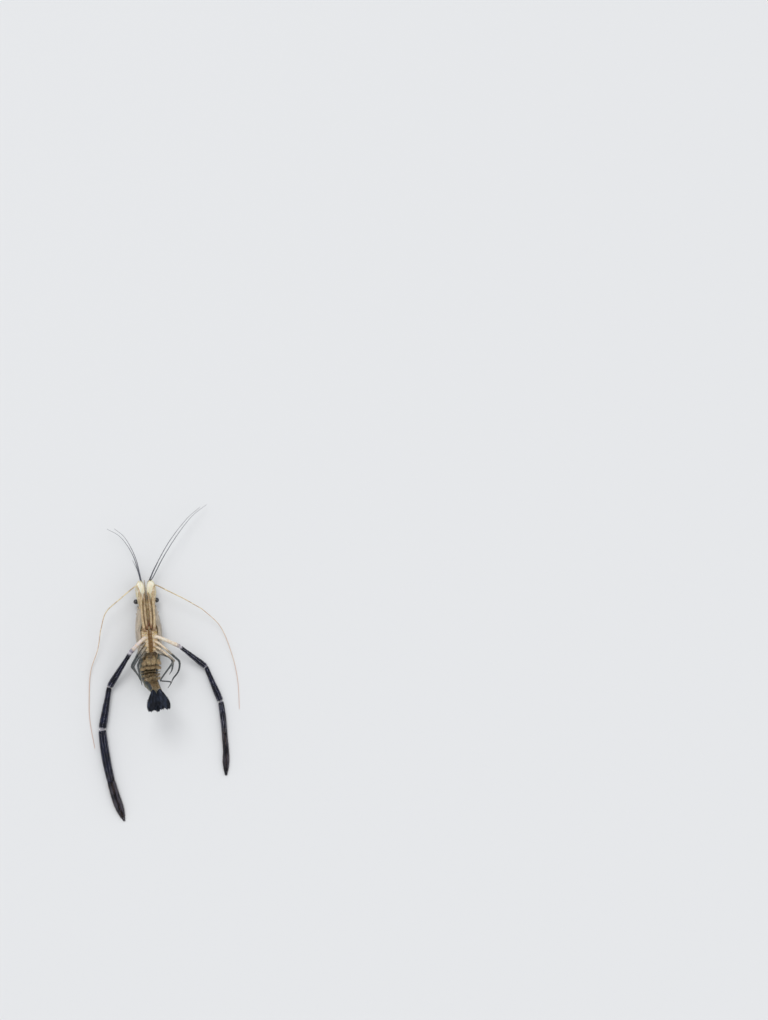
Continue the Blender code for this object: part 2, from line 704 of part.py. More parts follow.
def abdomen_joints():
    """Places, directions and sizes at the seven joints of the abdomen, which sways to the right and back."""
    y, z = ABDOMEN_START
    places, pitches = [np.array([TAIL_SWAYS[0], y, z])], []
    for (length, pitch, _, _), sway in zip(SOMITES, TAIL_SWAYS[1:]):
        turn = math.radians(pitch)
        y -= length * math.cos(turn)
        z += length * math.sin(turn)
        places.append(np.array([sway, y, z]))
        pitches.append(turn)
    ends = pitches + [math.radians(FAN_PITCH + FAN_TURN)]
    facing = [0.0] + [0.5 * (a + b) for a, b in zip(ends, ends[1:])]
    sizes = [somite[2:] for somite in SOMITES] + [TAIL_END]
    return places, facing, sizes


def tail_frame(pitch):
    """The directions backwards along the tail and out of its belly side at a pitch."""
    back = np.array([0.0, -math.cos(pitch), math.sin(pitch)])
    belly = np.array([0.0, math.sin(pitch), math.cos(pitch)])
    return back, belly


def make_abdomen():
    """Six somites, each a ring of shell a little wider at its rear, with side flaps down its belly."""
    places, facing, sizes = abdomen_joints()
    made = []
    for number in range(6):
        rings = []
        for share, swell in SOMITE_SWELL:
            pitch = facing[number] + (facing[number + 1] - facing[number]) * share
            back, belly = tail_frame(pitch)
            start, end = places[number], places[number + 1]
            wide, deep = np.array(sizes[number]) * (1 - share) + np.array(sizes[number + 1]) * share
            trim = GAP / 2 * (1 - 2 * share)
            centre = start + (end - start) * share + back * trim
            drop = PLEURA_DROP * deep * (1.0 - PLEURA_ROUND * (2 * share - 1) ** 2)
            outline = shell_outline(wide * swell, -deep * swell, 0.0, drop, BELLY_LEVEL * deep, count=16)
            rings.append(set_in(outline, centre, ACROSS, belly))
        made.append(loft(f"abdomen_{number + 1}", rings, "shell"))
    return made


def make_fan(last_somite):
    """The tail fan: the telson in the middle and two blades on each side, in three layers."""
    places, facing, _ = abdomen_joints()
    back, belly = tail_frame(math.radians(FAN_PITCH))
    end_back, _ = tail_frame(facing[-1])
    root = places[-1] - end_back * FAN_ROOT_INSET
    length, half_width, height = TELSON
    start = root + belly * height
    telson = leaf(
        "telson", start, start + back * length, ACROSS, half_width, TELSON_THICKNESS, "fan_blue",
        camber=0.6, blunt=1.0, rows=7, ridge=RIDGE_HEIGHT,
    )
    cut_clear(telson, last_somite)
    for side_name, side in SIDES.items():
        for blade, (length, half_width, height) in BLADES.items():
            turn = math.radians(SPREADS[side_name][blade]) * side
            start = root + belly * height + ACROSS * side * (FAN_ROOT_OUT + FAN_ROOT_STEP * height)
            towards = back * math.cos(turn) + ACROSS * math.sin(turn)
            sideways = ACROSS * math.cos(turn) - back * math.sin(turn)
            made = leaf(
                f"uropod_{blade}_{side_name}", start, start + towards * length, sideways, half_width,
                BLADE_THICKNESS, "fan_blue", camber=0.5, rows=7, ridge=RIDGE_HEIGHT,
            )
            cut_clear(made, last_somite)


def make_pleopods(somites):
    """A pair of swimming legs under each of the first five somites: a stalk with two leaves."""
    places, facing, _ = abdomen_joints()
    for number, (out, length, half_width) in enumerate(PLEOPODS):
        pitch = 0.5 * (facing[number] + facing[number + 1])
        back, belly = tail_frame(pitch)
        middle = 0.5 * (places[number] + places[number + 1])
        level = BELLY_LEVEL * SOMITES[number][3] - PLEOPOD_ROOT_SINK
        lie = unit(belly * PLEOPOD_LIE[0] + back * PLEOPOD_LIE[1])
        over = np.cross(ACROSS, lie)
        for side_name, side in SIDES.items():
            name = f"pleopod{number + 1}_{side_name}"
            root = middle + belly * level + ACROSS * side * out
            knee = root + lie * PLEOPOD_STALK
            first_radius, last_radius = PLEOPOD_STALK_RADII
            stalk = np.vstack([np.append(root, first_radius), np.append(knee, last_radius)])
            made = loft(name, round_rings(stalk, 6, flatness=PLEOPOD_STALK_FLATNESS), "pleopod_yellow")
            leaves = []
            for label, lean, layer in PLEOPOD_LEAVES:
                towards = unit(lie + ACROSS * side * lean)
                start = knee - lie * last_radius + ACROSS * side * lean * PLEOPOD_SPACING + over * layer
                end = start + towards * length
                leaves.append(leaf(
                    f"{name}_{label}", start, end, ACROSS, half_width * PLEOPOD_LEAF_SHARE,
                    PLEOPOD_LEAF_THICKNESS, "pleopod_yellow", camber=0.2, blunt=0.6, points=5, rows=3,
                ))
            fuse(made, *leaves)
            cut_clear(made, somites[number], somites[number + 1])


def make_eyes(head, carapace):
    """The stalked eyes: a short stalk and a round cornea on each side."""
    for side_name, side in SIDES.items():
        root, centre = mirrored([EYESTALK_ROOT, EYE], side)
        reach = unit(centre - root)
        places = (root, root + reach * EYESTALK_NECK, centre - reach * EYE_SEAT)
        rows = [np.append(place, radius) for place, radius in zip(places, EYESTALK_RADII)]
        stalk = loft(f"eyestalk_{side_name}", round_rings(rows, 10), "belly")
        cut_clear(stalk, head, carapace)
        eye = ball(f"eye_{side_name}", centre, (EYE_RADIUS,) * 3, "eye_black")
        cut_clear(eye, stalk)


def make_antennules(head, rostrum):
    """The first feelers: a jointed stalk with two long whips and a short one on each side."""
    for side_name, side in SIDES.items():
        stalk = through(mirrored(ANTENNULE_BASE, side), 2)
        made = loft(f"antennule_{side_name}", round_rings(stalk, 10, flatness=0.72), "feeler_dark")
        whips = []
        for number, points in enumerate(ANTENNULES[side_name]):
            route = mirrored(points, side)
            whips.append(wire(f"whip_{number}", route, FEELER_RADII["antennule"], "feeler_dark", 3))
        fuse(made, *whips)
        cut_clear(made, head, rostrum)


def make_antennae(head):
    """The second feelers: a stalk with the first length of the long whip, then its second length.

    A flat scale covers each stalk from the back."""
    for side_name, side in SIDES.items():
        first, second = (mirrored(points, side) for points in ANTENNAE[side_name])
        base = mirrored(ANTENNA_BASE, side)
        made = loft(f"antenna_{side_name}", round_rings(through(base, 2), 10), "feeler_pale")
        radius, tip = FEELER_RADII["antenna"]
        middle = 0.5 * (radius + tip)
        route = np.vstack([base[-1, :3] - (0.0, WHIP_SINK, 0.0), first])
        whip = wire("whip", route, (radius, middle), "feeler_pale")
        fuse(made, whip)
        cut_clear(made, head)
        wire(f"antenna_tip_{side_name}", second, (middle, tip), "feeler_pale")
        root, end = mirrored([SCALE_ROOT, SCALE_TIP], side)
        tilted = np.array([1.0, 0.0, SCALE_ROLL * side])
        scale = leaf(
            f"antennal_scale_{side_name}", root, end, tilted, SCALE_HALF_WIDTH,
            SCALE_THICKNESS, "scale_cream", camber=0.4, blunt=0.55, rows=7, ridge=0.5 * RIDGE_HEIGHT,
        )
        cut_clear(scale, head)


def make_mouth(head, sternum):
    """The mouth: two jaws under an upper lip, between the mouth legs."""
    centre, radii = LIP
    made = ball("mouthparts", centre, radii, "mouth_brown", 10, 6)
    centre, radii = JAW
    jaws = []
    for name, side in SIDES.items():
        jaws.append(ball(f"jaw_{name}", mirrored([centre], side)[0], radii, "mouth_brown", 10, 6))
    fuse(made, *jaws)
    cut_clear(made, head, sternum)
    return made


def make_leg(name, rows, finish, *neighbours):
    """One leg from the breast plates to its tip, cut clear of its neighbours."""
    made = loft(name, round_rings(through(rows, 2), 8), finish)
    return cut_clear(made, *neighbours)


def make_first_leg(side_name, *neighbours):
    """The slender first leg, which ends in a small pincer."""
    side = SIDES[side_name]
    made = make_leg(f"pereiopod1_{side_name}", mirrored(PEREIOPOD1, side), "pale_leg", *neighbours)
    foot, length, radius = PINCER
    finger = spine(mirrored([foot], side)[0], np.array([0.0, 1.0, 0.0]), length, radius, "pale_leg", 6)
    return fuse(made, finger)


def between(start, end, first_normal, last_normal, widths, sides, flatness=1.0, middle=None):
    """Rings of a straight or gently bent limb segment, its ends trimmed back by half the gap."""
    start, end = np.asarray(start, dtype=float), np.asarray(end, dtype=float)
    direction = unit(end - start)
    first_normal, last_normal = unit(first_normal), unit(last_normal)
    a = start + direction * (GAP / 2) / np.dot(direction, first_normal)
    b = end - direction * (GAP / 2) / np.dot(direction, last_normal)
    shares = np.linspace(0.0, 1.0, len(widths))
    centre = 0.5 * (a + b) if middle is None else np.asarray(middle, dtype=float)
    sag = centre - 0.5 * (a + b)
    rows = [np.append(a + (b - a) * s + sag * 4 * s * (1 - s), w) for s, w in zip(shares, widths)]
    return round_rings(rows, sides, first_normal, last_normal, flatness)


def make_claw(side_name, sternum, carapace):
    """One long claw: ischium, merus, carpus, palm with its fixed finger, and the movable finger.

    Rows of spines stand on the merus, carpus and palm."""
    side = SIDES[side_name]
    claw = CLAWS[side_name]
    root, shoulder, ischium, merus, carpus, palm, knuckle, bend, tip = mirrored(claw[:9], side)
    r = claw.sizes
    joints = (shoulder, ischium, merus, carpus, palm, knuckle)
    towards = [unit(b - a) for a, b in zip(joints, joints[1:])]
    faces = [unit(a + b) for a, b in zip(towards, towards[1:])]
    end = ischium - faces[0] * GAP / 2
    knots = (np.append(root, r[0]), np.append(shoulder, r[0] * SHOULDER_SHARE), np.append(end, r[1]))
    rows = through(knots, 3)
    made = loft(f"claw_{side_name}_ischium", round_rings(rows, 10, None, faces[0]), "claw_joint")
    cut_clear(made, sternum, carapace)
    for label, a, b, first, last, w0, w1 in (
        ("merus", ischium, merus, faces[0], faces[1], r[1], r[2]),
        ("carpus", merus, carpus, faces[1], faces[2], r[2] * CARPUS_SHARE, r[3]),
    ):
        widths = np.linspace(w0, w1, len(SEGMENT_WAIST)) * SEGMENT_WAIST
        rings = between(a, b, first, last, widths, CLAW_SIDES)
        set_spines(loft(f"claw_{side_name}_{label}", rings, "claw_blue"), rings, label, side_name, w1)
    widths = [r[4] * share for share in PALM_WIDTHS]
    palm_rings = between(carpus, knuckle, faces[2], towards[4], widths, CLAW_SIDES, PALM_FLATNESS, palm)
    shares = FINGER_WIDTHS[side_name]
    fixed = finger_rings(palm, knuckle, bend, tip, r[5], shares, side)
    made = loft(f"claw_{side_name}_palm", list(palm_rings) + list(fixed), "claw_blue")
    set_spines(made, palm_rings, "palm", side_name, r[4])
    moving = finger_rings(palm, knuckle, bend, tip, r[5], shares, -side)
    loft(f"claw_{side_name}_dactyl", moving, "claw_blue")


def set_spines(made, rings, label, side_name, half_width):
    """Fuses the rows of spines of one claw segment to it."""
    points, counts = CLAW_SPINES[label]
    length, radius = (size * half_width for size in CLAW_SPINE)
    spines = []
    for point in points:
        spines += spine_row(rings, point, counts[side_name], length, radius, "claw_blue")
    fuse(made, *spines)


def finger_rings(palm, knuckle, bend, tip, wide, shares, side):
    """Rings of one finger, on the outer or inner side of the claw's middle line, hooked at its tip."""
    start = knuckle + unit(knuckle - palm) * GAP / 2
    places = (start, bend, 0.5 * (bend + tip), tip)
    rows = through([np.append(place, share) for place, share in zip(places, shares)], 2)
    normals = unit(np.gradient(rows[:, :3], axis=0))
    normals[0] = unit(knuckle - palm)
    rings = []
    for row, normal in zip(rows, normals):
        across = unit(np.cross(normal, UP))
        half = 0.5 * wide * row[3] - GAP / 4
        offset = half + GAP / 2 + FINGER_SLACK
        centre = row[:3] + across * math.copysign(offset, across[0] * side)
        outline = ellipse(half, FINGER_DEPTH * wide * row[3], CLAW_SIDES)
        rings.append(set_in(outline, centre, across, np.cross(across, normal)))
    return rings


def clear_scene():
    """Starts from an empty scene."""
    for old in list(bpy.data.objects):
        bpy.data.objects.remove(old)


def main():
    """Makes every node, shades it smooth and removes the cutters."""
    carapace = make_carapace()
    sternum = make_sternum()
    head = make_head()
    rostrum = make_rostrum()
    somites = make_abdomen()
    make_fan(somites[-1])
    make_pleopods(somites)
    make_eyes(head, carapace)
    make_antennules(head, rostrum)
    make_antennae(head)
    mouth = make_mouth(head, sternum)
    for name, rows in LEGS.items():
        side = SIDES[name.split("_")[1]]
        make_leg(name, mirrored(rows, side), "leg", sternum, carapace)
    for side_name, side in SIDES.items():
        make_first_leg(side_name, sternum, head, carapace, mouth)
        make_leg(f"maxilliped_{side_name}", mirrored(MAXILLIPED, side), "pale_leg", sternum, head, mouth)
        make_claw(side_name, sternum, carapace)
    for made in prawn.objects:
        made.data.shade_smooth()
        made.data.set_sharp_from_angle(angle=math.radians(35.0))
    for cutter in list(cutters.objects):
        bpy.data.objects.remove(cutter)


clear_scene()
chance = np.random.default_rng(DRAW_SEED)
prawn = bpy.data.collections.new("giant_river_prawn")
cutters = bpy.data.collections.new("cutters")
bpy.context.scene.collection.children.link(prawn)
bpy.context.scene.collection.children.link(cutters)
main()
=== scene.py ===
"""Giant river prawn, a long-clawed male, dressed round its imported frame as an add-on of operators.

The prawn lies on its back: +Z is its belly side, +Y its head and -X its right side. Sizes here are in
millimetres and are turned to metres when a mesh is made.
"""

import math
from collections import namedtuple

import bpy
import numpy as np
from mathutils import Matrix


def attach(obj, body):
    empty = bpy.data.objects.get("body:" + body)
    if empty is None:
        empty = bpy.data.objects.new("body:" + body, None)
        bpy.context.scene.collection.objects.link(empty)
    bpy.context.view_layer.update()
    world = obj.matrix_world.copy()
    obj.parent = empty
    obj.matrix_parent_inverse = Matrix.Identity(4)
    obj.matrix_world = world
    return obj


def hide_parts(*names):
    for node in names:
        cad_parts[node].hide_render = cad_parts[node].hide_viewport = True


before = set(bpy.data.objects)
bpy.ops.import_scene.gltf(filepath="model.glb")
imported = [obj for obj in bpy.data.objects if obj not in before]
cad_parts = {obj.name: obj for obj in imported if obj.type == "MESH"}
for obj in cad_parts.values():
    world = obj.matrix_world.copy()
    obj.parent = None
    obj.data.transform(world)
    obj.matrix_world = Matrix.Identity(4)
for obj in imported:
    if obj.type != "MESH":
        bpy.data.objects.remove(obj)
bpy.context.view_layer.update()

bl_info = {
    "name": "Giant river prawn",
    "version": (1, 0, 0),
    "blender": (4, 5, 0),
    "location": "View3D > Sidebar > Prawn",
    "description": "Dresses the packed solids of a giant river prawn with shell, spines, feelers and setae",
    "category": "Add Mesh",
}

MM = 0.001
GAP = 0.3
FLOOR = 0.0
SIDES = {"right": -1.0, "left": 1.0}
UP = np.array([0.0, 0.0, 1.0])
ACROSS = np.array([1.0, 0.0, 0.0])
FULL_TURN = 2.0 * math.pi

# Named sizes of the trunk, as in the solids
CARAPACE_FRONT = 52.0
HEAD_SPLIT = 14.0
HEAD_FRONT = 59.0
EDGE_ANGLE = math.radians(135.0)
SHELL_WALL = 1.6
FRONT_SLOPE = 0.30
CARAPACE_STATIONS = [
    (-18.0, 15.4, 0.5, 16.0, 27.0, 20.0, 0.0),
    (-13.0, 17.2, -0.7, 17.0, 29.5, 21.0, 0.0),
    (10.0, 18.8, -0.7, 17.5, 30.5, 21.0, 1.0),
    (28.0, 17.4, 0.9, 16.5, 28.0, 17.0, 15.0),
    (42.0, 15.0, 2.2, 15.0, 25.0, 12.5, 15.0),
    (52.0, 12.8, 3.2, 13.6, 22.5, 10.5, 10.0),
]
HEAD_STATIONS = [(14.3, 27.0, 3.6), (28.0, 24.5, 3.0), (42.0, 21.5, 2.6), (51.5, 19.0, 2.4)]
STERNUM_STATIONS = [(-18.0, 26.5, 5.0), (-10.0, 28.5, 5.4), (4.0, 28.5, 5.4), (13.7, 27.4, 4.2)]
BROW_HALF_WIDTH = 11.4
BROW_LOW = 16.6
BROW_HIGH = 24.0
SNOUT = (13.9, 3.0, 5.2)
SNOUT_SPAN = (50.8, 57.0)
SOMITES = [
    (10.0, 5.0, 14.2, 13.2),
    (13.0, 15.0, 14.6, 13.4),
    (17.0, 40.0, 13.4, 13.0),
    (13.0, 60.0, 11.2, 11.6),
    (12.0, 66.0, 9.6, 10.2),
    (15.0, 60.0, 8.2, 8.8),
]
TAIL_END = (7.2, 6.8)
TAIL_SWAYS = (0.0, -1.6, -3.3, -4.0, -3.4, -1.5, 1.2)
ABDOMEN_START = (-18.3, 16.2)
PLEURA_DROP = 0.92
PLEURA_ROUND = 0.24
BELLY_LEVEL = 0.42
SOMITE_SWELL = ((0.0, 0.15, 0.5, 0.85, 1.0), (0.945, 0.985, 1.0, 1.015, 1.01))
FAN_PITCH = 24.0
FAN_ROOT_INSET = 1.2
FAN_ROOT_OUT = 2.6
FAN_ROOT_STEP = 0.5
FAN_TURN = 22.0
TELSON = (29.0, 4.2, -3.4)
BLADES = {"endopod": (28.0, 4.2, 0.1), "exopod": (31.0, 5.2, 2.9)}
SPREADS = {"right": {"endopod": 5.5, "exopod": 12.5}, "left": {"endopod": 6.5, "exopod": 18.0}}
EYE = (14.4, 56.6, 14.2)
EYESTALK_ROOT = (4.4, 53.2, 13.8)
EYESTALK_ROWS = [(0.0, 2.1), (6.0, 1.9)]
SCALE_ROOT = (8.3, 52.5, 18.9)
SCALE_TIP = (7.6, 84.5, 18.6)
SCALE_HALF_WIDTH = 5.7
SCALE_ROLL = 0.12
ROSTRUM_STATIONS = [
    (52.4, 6.9, 3.4, 2.6), (58.0, 6.3, 4.0, 1.7), (68.0, 5.9, 4.0, 1.1),
    (78.0, 4.4, 2.6, 0.8), (88.0, 2.2, 0.5, 0.35),
]
ROSTRUM_TEETH = [(-1.0, 12, 0.10, 0.92), (1.0, 10, 0.42, 0.93)]
LIP = ((0.0, 21.5, 28.6), (3.6, 3.0, 2.2))
JAW = ((6.0, 20.6, 27.7), (3.9, 3.8, 3.1))
SHELL_SPINES = [((12.7, 46.0, 18.5), (0.10, 1.0, 0.10)), ((15.0, 38.0, 16.5), (0.45, 1.0, 0.05))]

Claw = namedtuple("Claw", "root shoulder ischium merus carpus palm knuckle bend tip sizes")
CLAWS = {
    "right": Claw(
        (4.6, 4.6, 30.5), (14.5, -2.8, 37.0), (27.2, -14.6, 32.0), (59.0, -59.8, 7.2), (72.4, -117.0, 5.2),
        (70.4, -152.0, 5.1), (65.0, -190.0, 4.6), (60.0, -213.0, 3.6), (50.9, -245.6, 1.2),
        (2.7, 3.1, 4.2, 4.9, 5.6, 5.2),
    ),
    "left": Claw(
        (4.6, 4.2, 30.5), (14.5, 0.6, 35.8), (40.4, -13.2, 27.0), (77.7, -45.7, 6.4), (95.2, -97.7, 4.3),
        (96.8, -122.0, 4.2), (96.9, -143.5, 3.9), (97.0, -168.0, 3.0), (94.4, -203.0, 1.6),
        (2.5, 2.8, 3.7, 4.1, 4.1, 3.7),
    ),
}
SEGMENT_WAIST = (0.92, 0.86, 0.95, 1.04, 1.1, 0.98)
PALM_WIDTHS = (0.86, 0.97, 1.0, 0.99, 0.96, 0.9)
FINGER_WIDTHS = {"right": (1.0, 1.08, 0.98, 0.26), "left": (1.0, 1.08, 1.18, 0.46)}
LEGS = {
    "pereiopod3_left": [
        (4.6, -2.5, 30.0, 1.7), (12.5, -7.5, 36.0, 1.75), (32.3, -28.0, 34.0, 1.5),
        (38.6, -36.4, 31.0, 1.5), (36.3, -48.6, 26.0, 1.15), (28.7, -58.0, 21.0, 0.95),
        (26.4, -63.3, 17.5, 0.3),
    ],
    "pereiopod4_left": [
        (4.6, -8.5, 30.0, 1.7), (11.6, -14.4, 37.2, 1.75), (28.6, -31.2, 41.0, 1.5),
        (28.0, -35.8, 44.0, 1.35), (9.6, -56.2, 66.0, 1.05), (9.8, -59.6, 68.5, 0.95),
        (21.6, -62.6, 66.0, 0.85), (17.4, -70.0, 66.0, 0.3),
    ],
    "pereiopod5_left": [
        (4.6, -14.5, 29.5, 1.7), (11.0, -20.2, 34.4, 1.7), (25.0, -27.5, 31.0, 1.45),
        (29.4, -35.0, 28.0, 1.45), (27.4, -45.5, 29.0, 0.95), (23.4, -51.5, 31.0, 0.3),
    ],
    "pereiopod3_right": [
        (4.6, -2.5, 30.0, 1.7), (11.8, -8.2, 35.0, 1.75), (21.0, -23.5, 34.0, 1.5),
        (27.2, -34.0, 30.5, 1.45), (25.0, -39.5, 28.0, 1.05), (21.6, -44.5, 25.0, 0.9),
        (19.4, -49.0, 23.0, 0.3),
    ],
    "pereiopod4_right": [
        (4.6, -8.5, 30.0, 1.7), (11.0, -15.0, 37.4, 1.75), (23.5, -31.5, 43.0, 1.5),
        (25.6, -36.5, 44.0, 1.35), (23.5, -42.0, 46.5, 1.05), (19.8, -50.0, 50.5, 0.9),
        (18.6, -55.0, 53.5, 0.3),
    ],
    "pereiopod5_right": [
        (4.6, -14.5, 29.5, 1.7), (11.2, -20.6, 34.6, 1.7), (17.6, -31.0, 36.2, 1.45),
        (19.0, -37.0, 36.6, 1.3), (17.6, -51.0, 41.0, 0.95), (16.0, -62.5, 45.0, 0.3),
    ],
}
PEREIOPOD1 = [
    (4.2, 10.0, 30.0, 2.0), (7.0, 15.5, 34.4, 2.0), (8.4, 33.0, 32.6, 1.6), (8.4, 49.0, 31.4, 1.5),
    (8.0, 57.0, 31.0, 1.5), (7.0, 60.0, 30.9, 0.8), (6.5, 66.5, 30.6, 0.35),
]
PINCER = [(8.8, 56.5, 31.0, 0.9), (9.2, 60.0, 31.0, 0.75), (8.9, 64.0, 31.0, 0.5), (8.4, 66.4, 30.9, 0.2)]
MAXILLIPED = [
    (2.4, 15.2, 29.4, 1.9), (3.1, 17.8, 33.4, 1.8), (3.7, 28.0, 32.6, 1.8), (3.8, 40.0, 29.6, 1.8),
    (3.4, 54.0, 26.4, 1.5), (3.0, 67.5, 25.0, 0.4),
]
ANTENNA_BASE = [
    (8.7, 50.5, 22.9, 2.9), (9.3, 61.0, 24.4, 2.7), (10.0, 70.0, 25.2, 1.7), (11.4, 76.0, 25.6, 1.0),
]
ANTENNAE = {
    "right": (
        [(14.6, 77.6, 25.6), (38.7, 60.0, 27.0), (57.5, 44.0, 23.0), (66.0, 20.0, 16.0)],
        [
            (66.2, 19.4, 15.9), (71.5, -6.0, 9.0), (83.0, -36.0, 3.0), (87.5, -77.0, 1.1),
            (88.0, -105.0, 1.0), (84.0, -142.0, 0.8),
        ],
    ),
    "left": (
        [(14.6, 77.0, 25.6), (30.0, 67.5, 28.0), (54.0, 53.0, 26.0), (78.0, 37.0, 20.0)],
        [
            (78.5, 36.6, 19.8), (103.0, 10.0, 11.0), (117.0, -30.0, 3.6), (123.0, -70.0, 1.1),
            (122.0, -112.0, 0.8),
        ],
    ),
}
ANTENNULE_BASE = [
    (3.3, 56.0, 14.0, 2.8), (3.6, 66.0, 14.4, 2.7), (4.2, 76.0, 15.2, 2.2), (5.0, 84.0, 16.0, 1.6),
]
ANTENNULES = {
    "right": [
        [(5.2, 83.0, 16.2), (13.9, 121.0, 22.0), (29.0, 150.0, 20.0), (47.5, 165.0, 14.0)],
        [(4.6, 83.0, 16.6), (11.5, 119.0, 26.0), (24.0, 148.0, 28.0), (38.0, 163.0, 26.0)],
        [(5.6, 83.0, 15.4), (9.4, 102.0, 15.0), (15.0, 117.0, 12.0)],
    ],
    "left": [
        [
            (5.4, 83.0, 16.2), (11.8, 90.0, 18.0), (28.6, 118.0, 22.0), (51.0, 149.0, 22.0),
            (74.4, 175.5, 17.0), (98.0, 193.0, 9.0),
        ],
        [
            (4.6, 83.0, 16.6), (15.5, 104.0, 26.0), (38.0, 139.0, 29.0), (65.0, 170.0, 27.5),
            (86.0, 187.0, 24.0),
        ],
        [(5.8, 83.0, 15.4), (13.0, 98.0, 14.0), (21.0, 112.0, 11.0)],
    ],
}
PLEOPODS = [(5.2, 16.0, 3.3), (5.4, 18.0, 3.7), (4.8, 17.0, 3.5), (4.3, 15.0, 3.0), (3.9, 12.5, 2.6)]
PLEOPOD_LEAVES = ((0.30, 0.55), (-0.14, -0.55))
PLEOPOD_STALK = 7.0
PLEOPOD_LIE = (0.75, 0.66)
PLEOPOD_LEAF_SHARE = 0.72

# Columns of a shell's cross-section after those of its back, and how far its edge is rounded
RIM_DROP = 0.3
EDGE_COLUMNS = 7
WALL_COLUMNS = 8
FLOOR_COLUMNS = 16
VAULT_SIDES = 64

# Where the carapace's grooves lie, and the sizes of its spines: length and half width
BRANCHIAL_GROOVE = 17.2
NECK_GROOVE = 38.5
GILL_HOLLOW = 26.0
CARAPACE_REAR = -18.0
SHELL_SPINE_SIZE = (2.7, 0.95)

# Rostrum's crest as place, middle, half height and half width, and the breast's seams and leg sockets,
# each socket as place along the body and half width
ROSTRUM_SIDES = 40
BROW_REAR = 50.5
CREST = [(26.0, 3.4, 1.4, 0.9), (36.0, 4.0, 2.4, 1.3), (46.0, 5.6, 3.4, 2.2)]
SEAMS = (-11.5, -5.5, 0.8, 7.2)
SOCKETS = ((-14.5, 2.6), (-8.5, 2.8), (-2.5, 2.8), (4.4, 3.6), (10.0, 2.6))
SOCKET_OUT = 5.4
SOCKET_LEVEL = 32.0

# Inner mouth legs as start, end, half width, camber, height of the ribs and tint, and a thin palp
INNER_LEAVES = [
    ((4.6, 16.8, 29.6), (5.6, 35.0, 28.6), 1.9, 0.5, 0.15, 0.7),
    ((1.5, 18.0, 29.6), (1.7, 31.0, 29.0), 1.5, 0.4, 0.12, 0.4),
]
PALP = [(6.6, 16.5, 31.0, 0.7), (8.4, 26.0, 30.8, 0.5), (9.6, 38.0, 28.6, 0.3)]
ANTENNULE_SCALE = [(5.6, 56.5, 14.4), (6.3, 66.5, 14.2)]

# Feelers and legs: steps and swelling of a lash's rings, reach and depth of a joint's pinch
LASH_STEP = 0.45
LASH_RINGED = 0.10
KNEE_REACH = 1.3
KNEE_PINCH = 0.16
SCALE_BLUNT = 0.55
SCALE_EDGE_SHARES = (0.02, 0.2, 0.45, 0.7, 0.86)

# Share of the pale base that some legs have
PALE_BASE = {"pereiopod4_left": 0.7, "pereiopod5_left": 0.5}

# Claws: rows of spines as shares of the way round, and numbers of the fine ones between
SEGMENT_SPINE_ROWS = (0.0, 0.12, 0.25, 0.38, 0.5)
PALM_SPINE_ROWS = (0.0, 0.1, 0.2, 0.3, 0.4, 0.5, 0.58, 0.92)
SEGMENT_FINE_SPINES = 420
PALM_FINE_SPINES = 900
FINGER_SPINE_ROWS = (0.0, 0.25, 0.5)
# Pale tint that rises to the tip of each claw spine: a painted glint, as if the wet spines caught the light
SPINE_GLINT = 0.95
CLAW_SIDES = 56
COLLAR_REACH = 1.6

# Rings of a rounded cap, and the angle from which an edge is drawn sharp
DOME_STEPS = 3
CREASE = math.radians(38.0)

# Fringes: the number of setae, their length and where along the leaf they start
FRINGES = {
    "telson": (160, 1.6, 0.62), "fan": (300, 2.1, 0.45), "swimming leg": (440, 3.4, 0.2),
    "scale": (620, 2.0, 0.3),
}
MOUTH_SETAE = 1400
LEG_SETAE = 500
MARGIN_SETAE = 700
MARGIN_SPAN = (-15.0, 50.5)

# Velvet of the fixed finger, the moving finger and the palm: number of setae, first and last share
VELVET = ((2300, 0.02, 0.9), (2300, 0.02, 0.9), (1400, 0.84, 1.0))

# Side of a bristle's patch on the unwrap, and the finish that all setae share
PATCH = 0.003
HAIR = {"roughness": 0.5, "relief": 0.01, "coat": 0.0}

# Real facets of the eye are about 0.06 mm across, drawn larger here so that they show
FACET = 0.2

# Depths in metres that red, green and blue light reach in the shell
GLOW_DEPTHS = (0.0012, 0.0007, 0.0004)

# The stage in metres: the floor's half width, the lamps with spread in degrees and share of the key light
STAGE_REACH = 60.0
LAMPS = [("key light", (-0.35, 0.75, 1.35), 28.0, 1.0), ("fill light", (0.9, -0.5, 1.0), 60.0, 0.3)]
LAMP_AIM = (0.0, -0.03, 0.02)
SKY = (0.89, 0.9, 0.92, 1.0)
SKY_STRENGTH = 0.8

# The camera: eye and aim in millimetres, roll in degrees, lens and long side of the frame
CAMERA_EYE = (-89.0, -66.1, 1483.2)
CAMERA_AIM = (376.9, 169.0, 0.0)
CAMERA_ROLL = 6.57
CAMERA_LENS = 35.0
CAMERA_FRAME = 36.0

Surface = namedtuple("Surface", "points faces place finish patches")


def linear(code):
    """Linear red, green and blue of an sRGB hex colour."""
    parts = np.array([int(code[k : k + 2], 16) for k in (1, 3, 5)]) / 255.0
    return tuple(np.where(parts <= 0.04045, parts / 12.92, ((parts + 0.055) / 1.055) ** 2.4).tolist())


def unit(vectors):
    """Vectors scaled to length one."""
    vectors = np.asarray(vectors, dtype=float)
    return vectors / np.linalg.norm(vectors, axis=-1, keepdims=True)


def through(rows, count):
    """Rows read from a Catmull-Rom curve that passes through the given rows, count to each stretch."""
    rows = np.asarray(rows, dtype=float)
    padded = np.vstack([2 * rows[0] - rows[1], rows, 2 * rows[-1] - rows[-2]])
    t = np.linspace(0.0, 1.0, count, endpoint=False)[None, :, None]
    a, b, c, d = (padded[k : len(rows) - 1 + k, None, :] for k in range(4))
    bend = (2 * a - 5 * b + 4 * c - d) * t**2 + (3 * b - a - 3 * c + d) * t**3
    curve = 0.5 * (2 * b + (c - a) * t + bend)
    return np.vstack([curve.reshape(-1, rows.shape[1]), rows[-1:]])


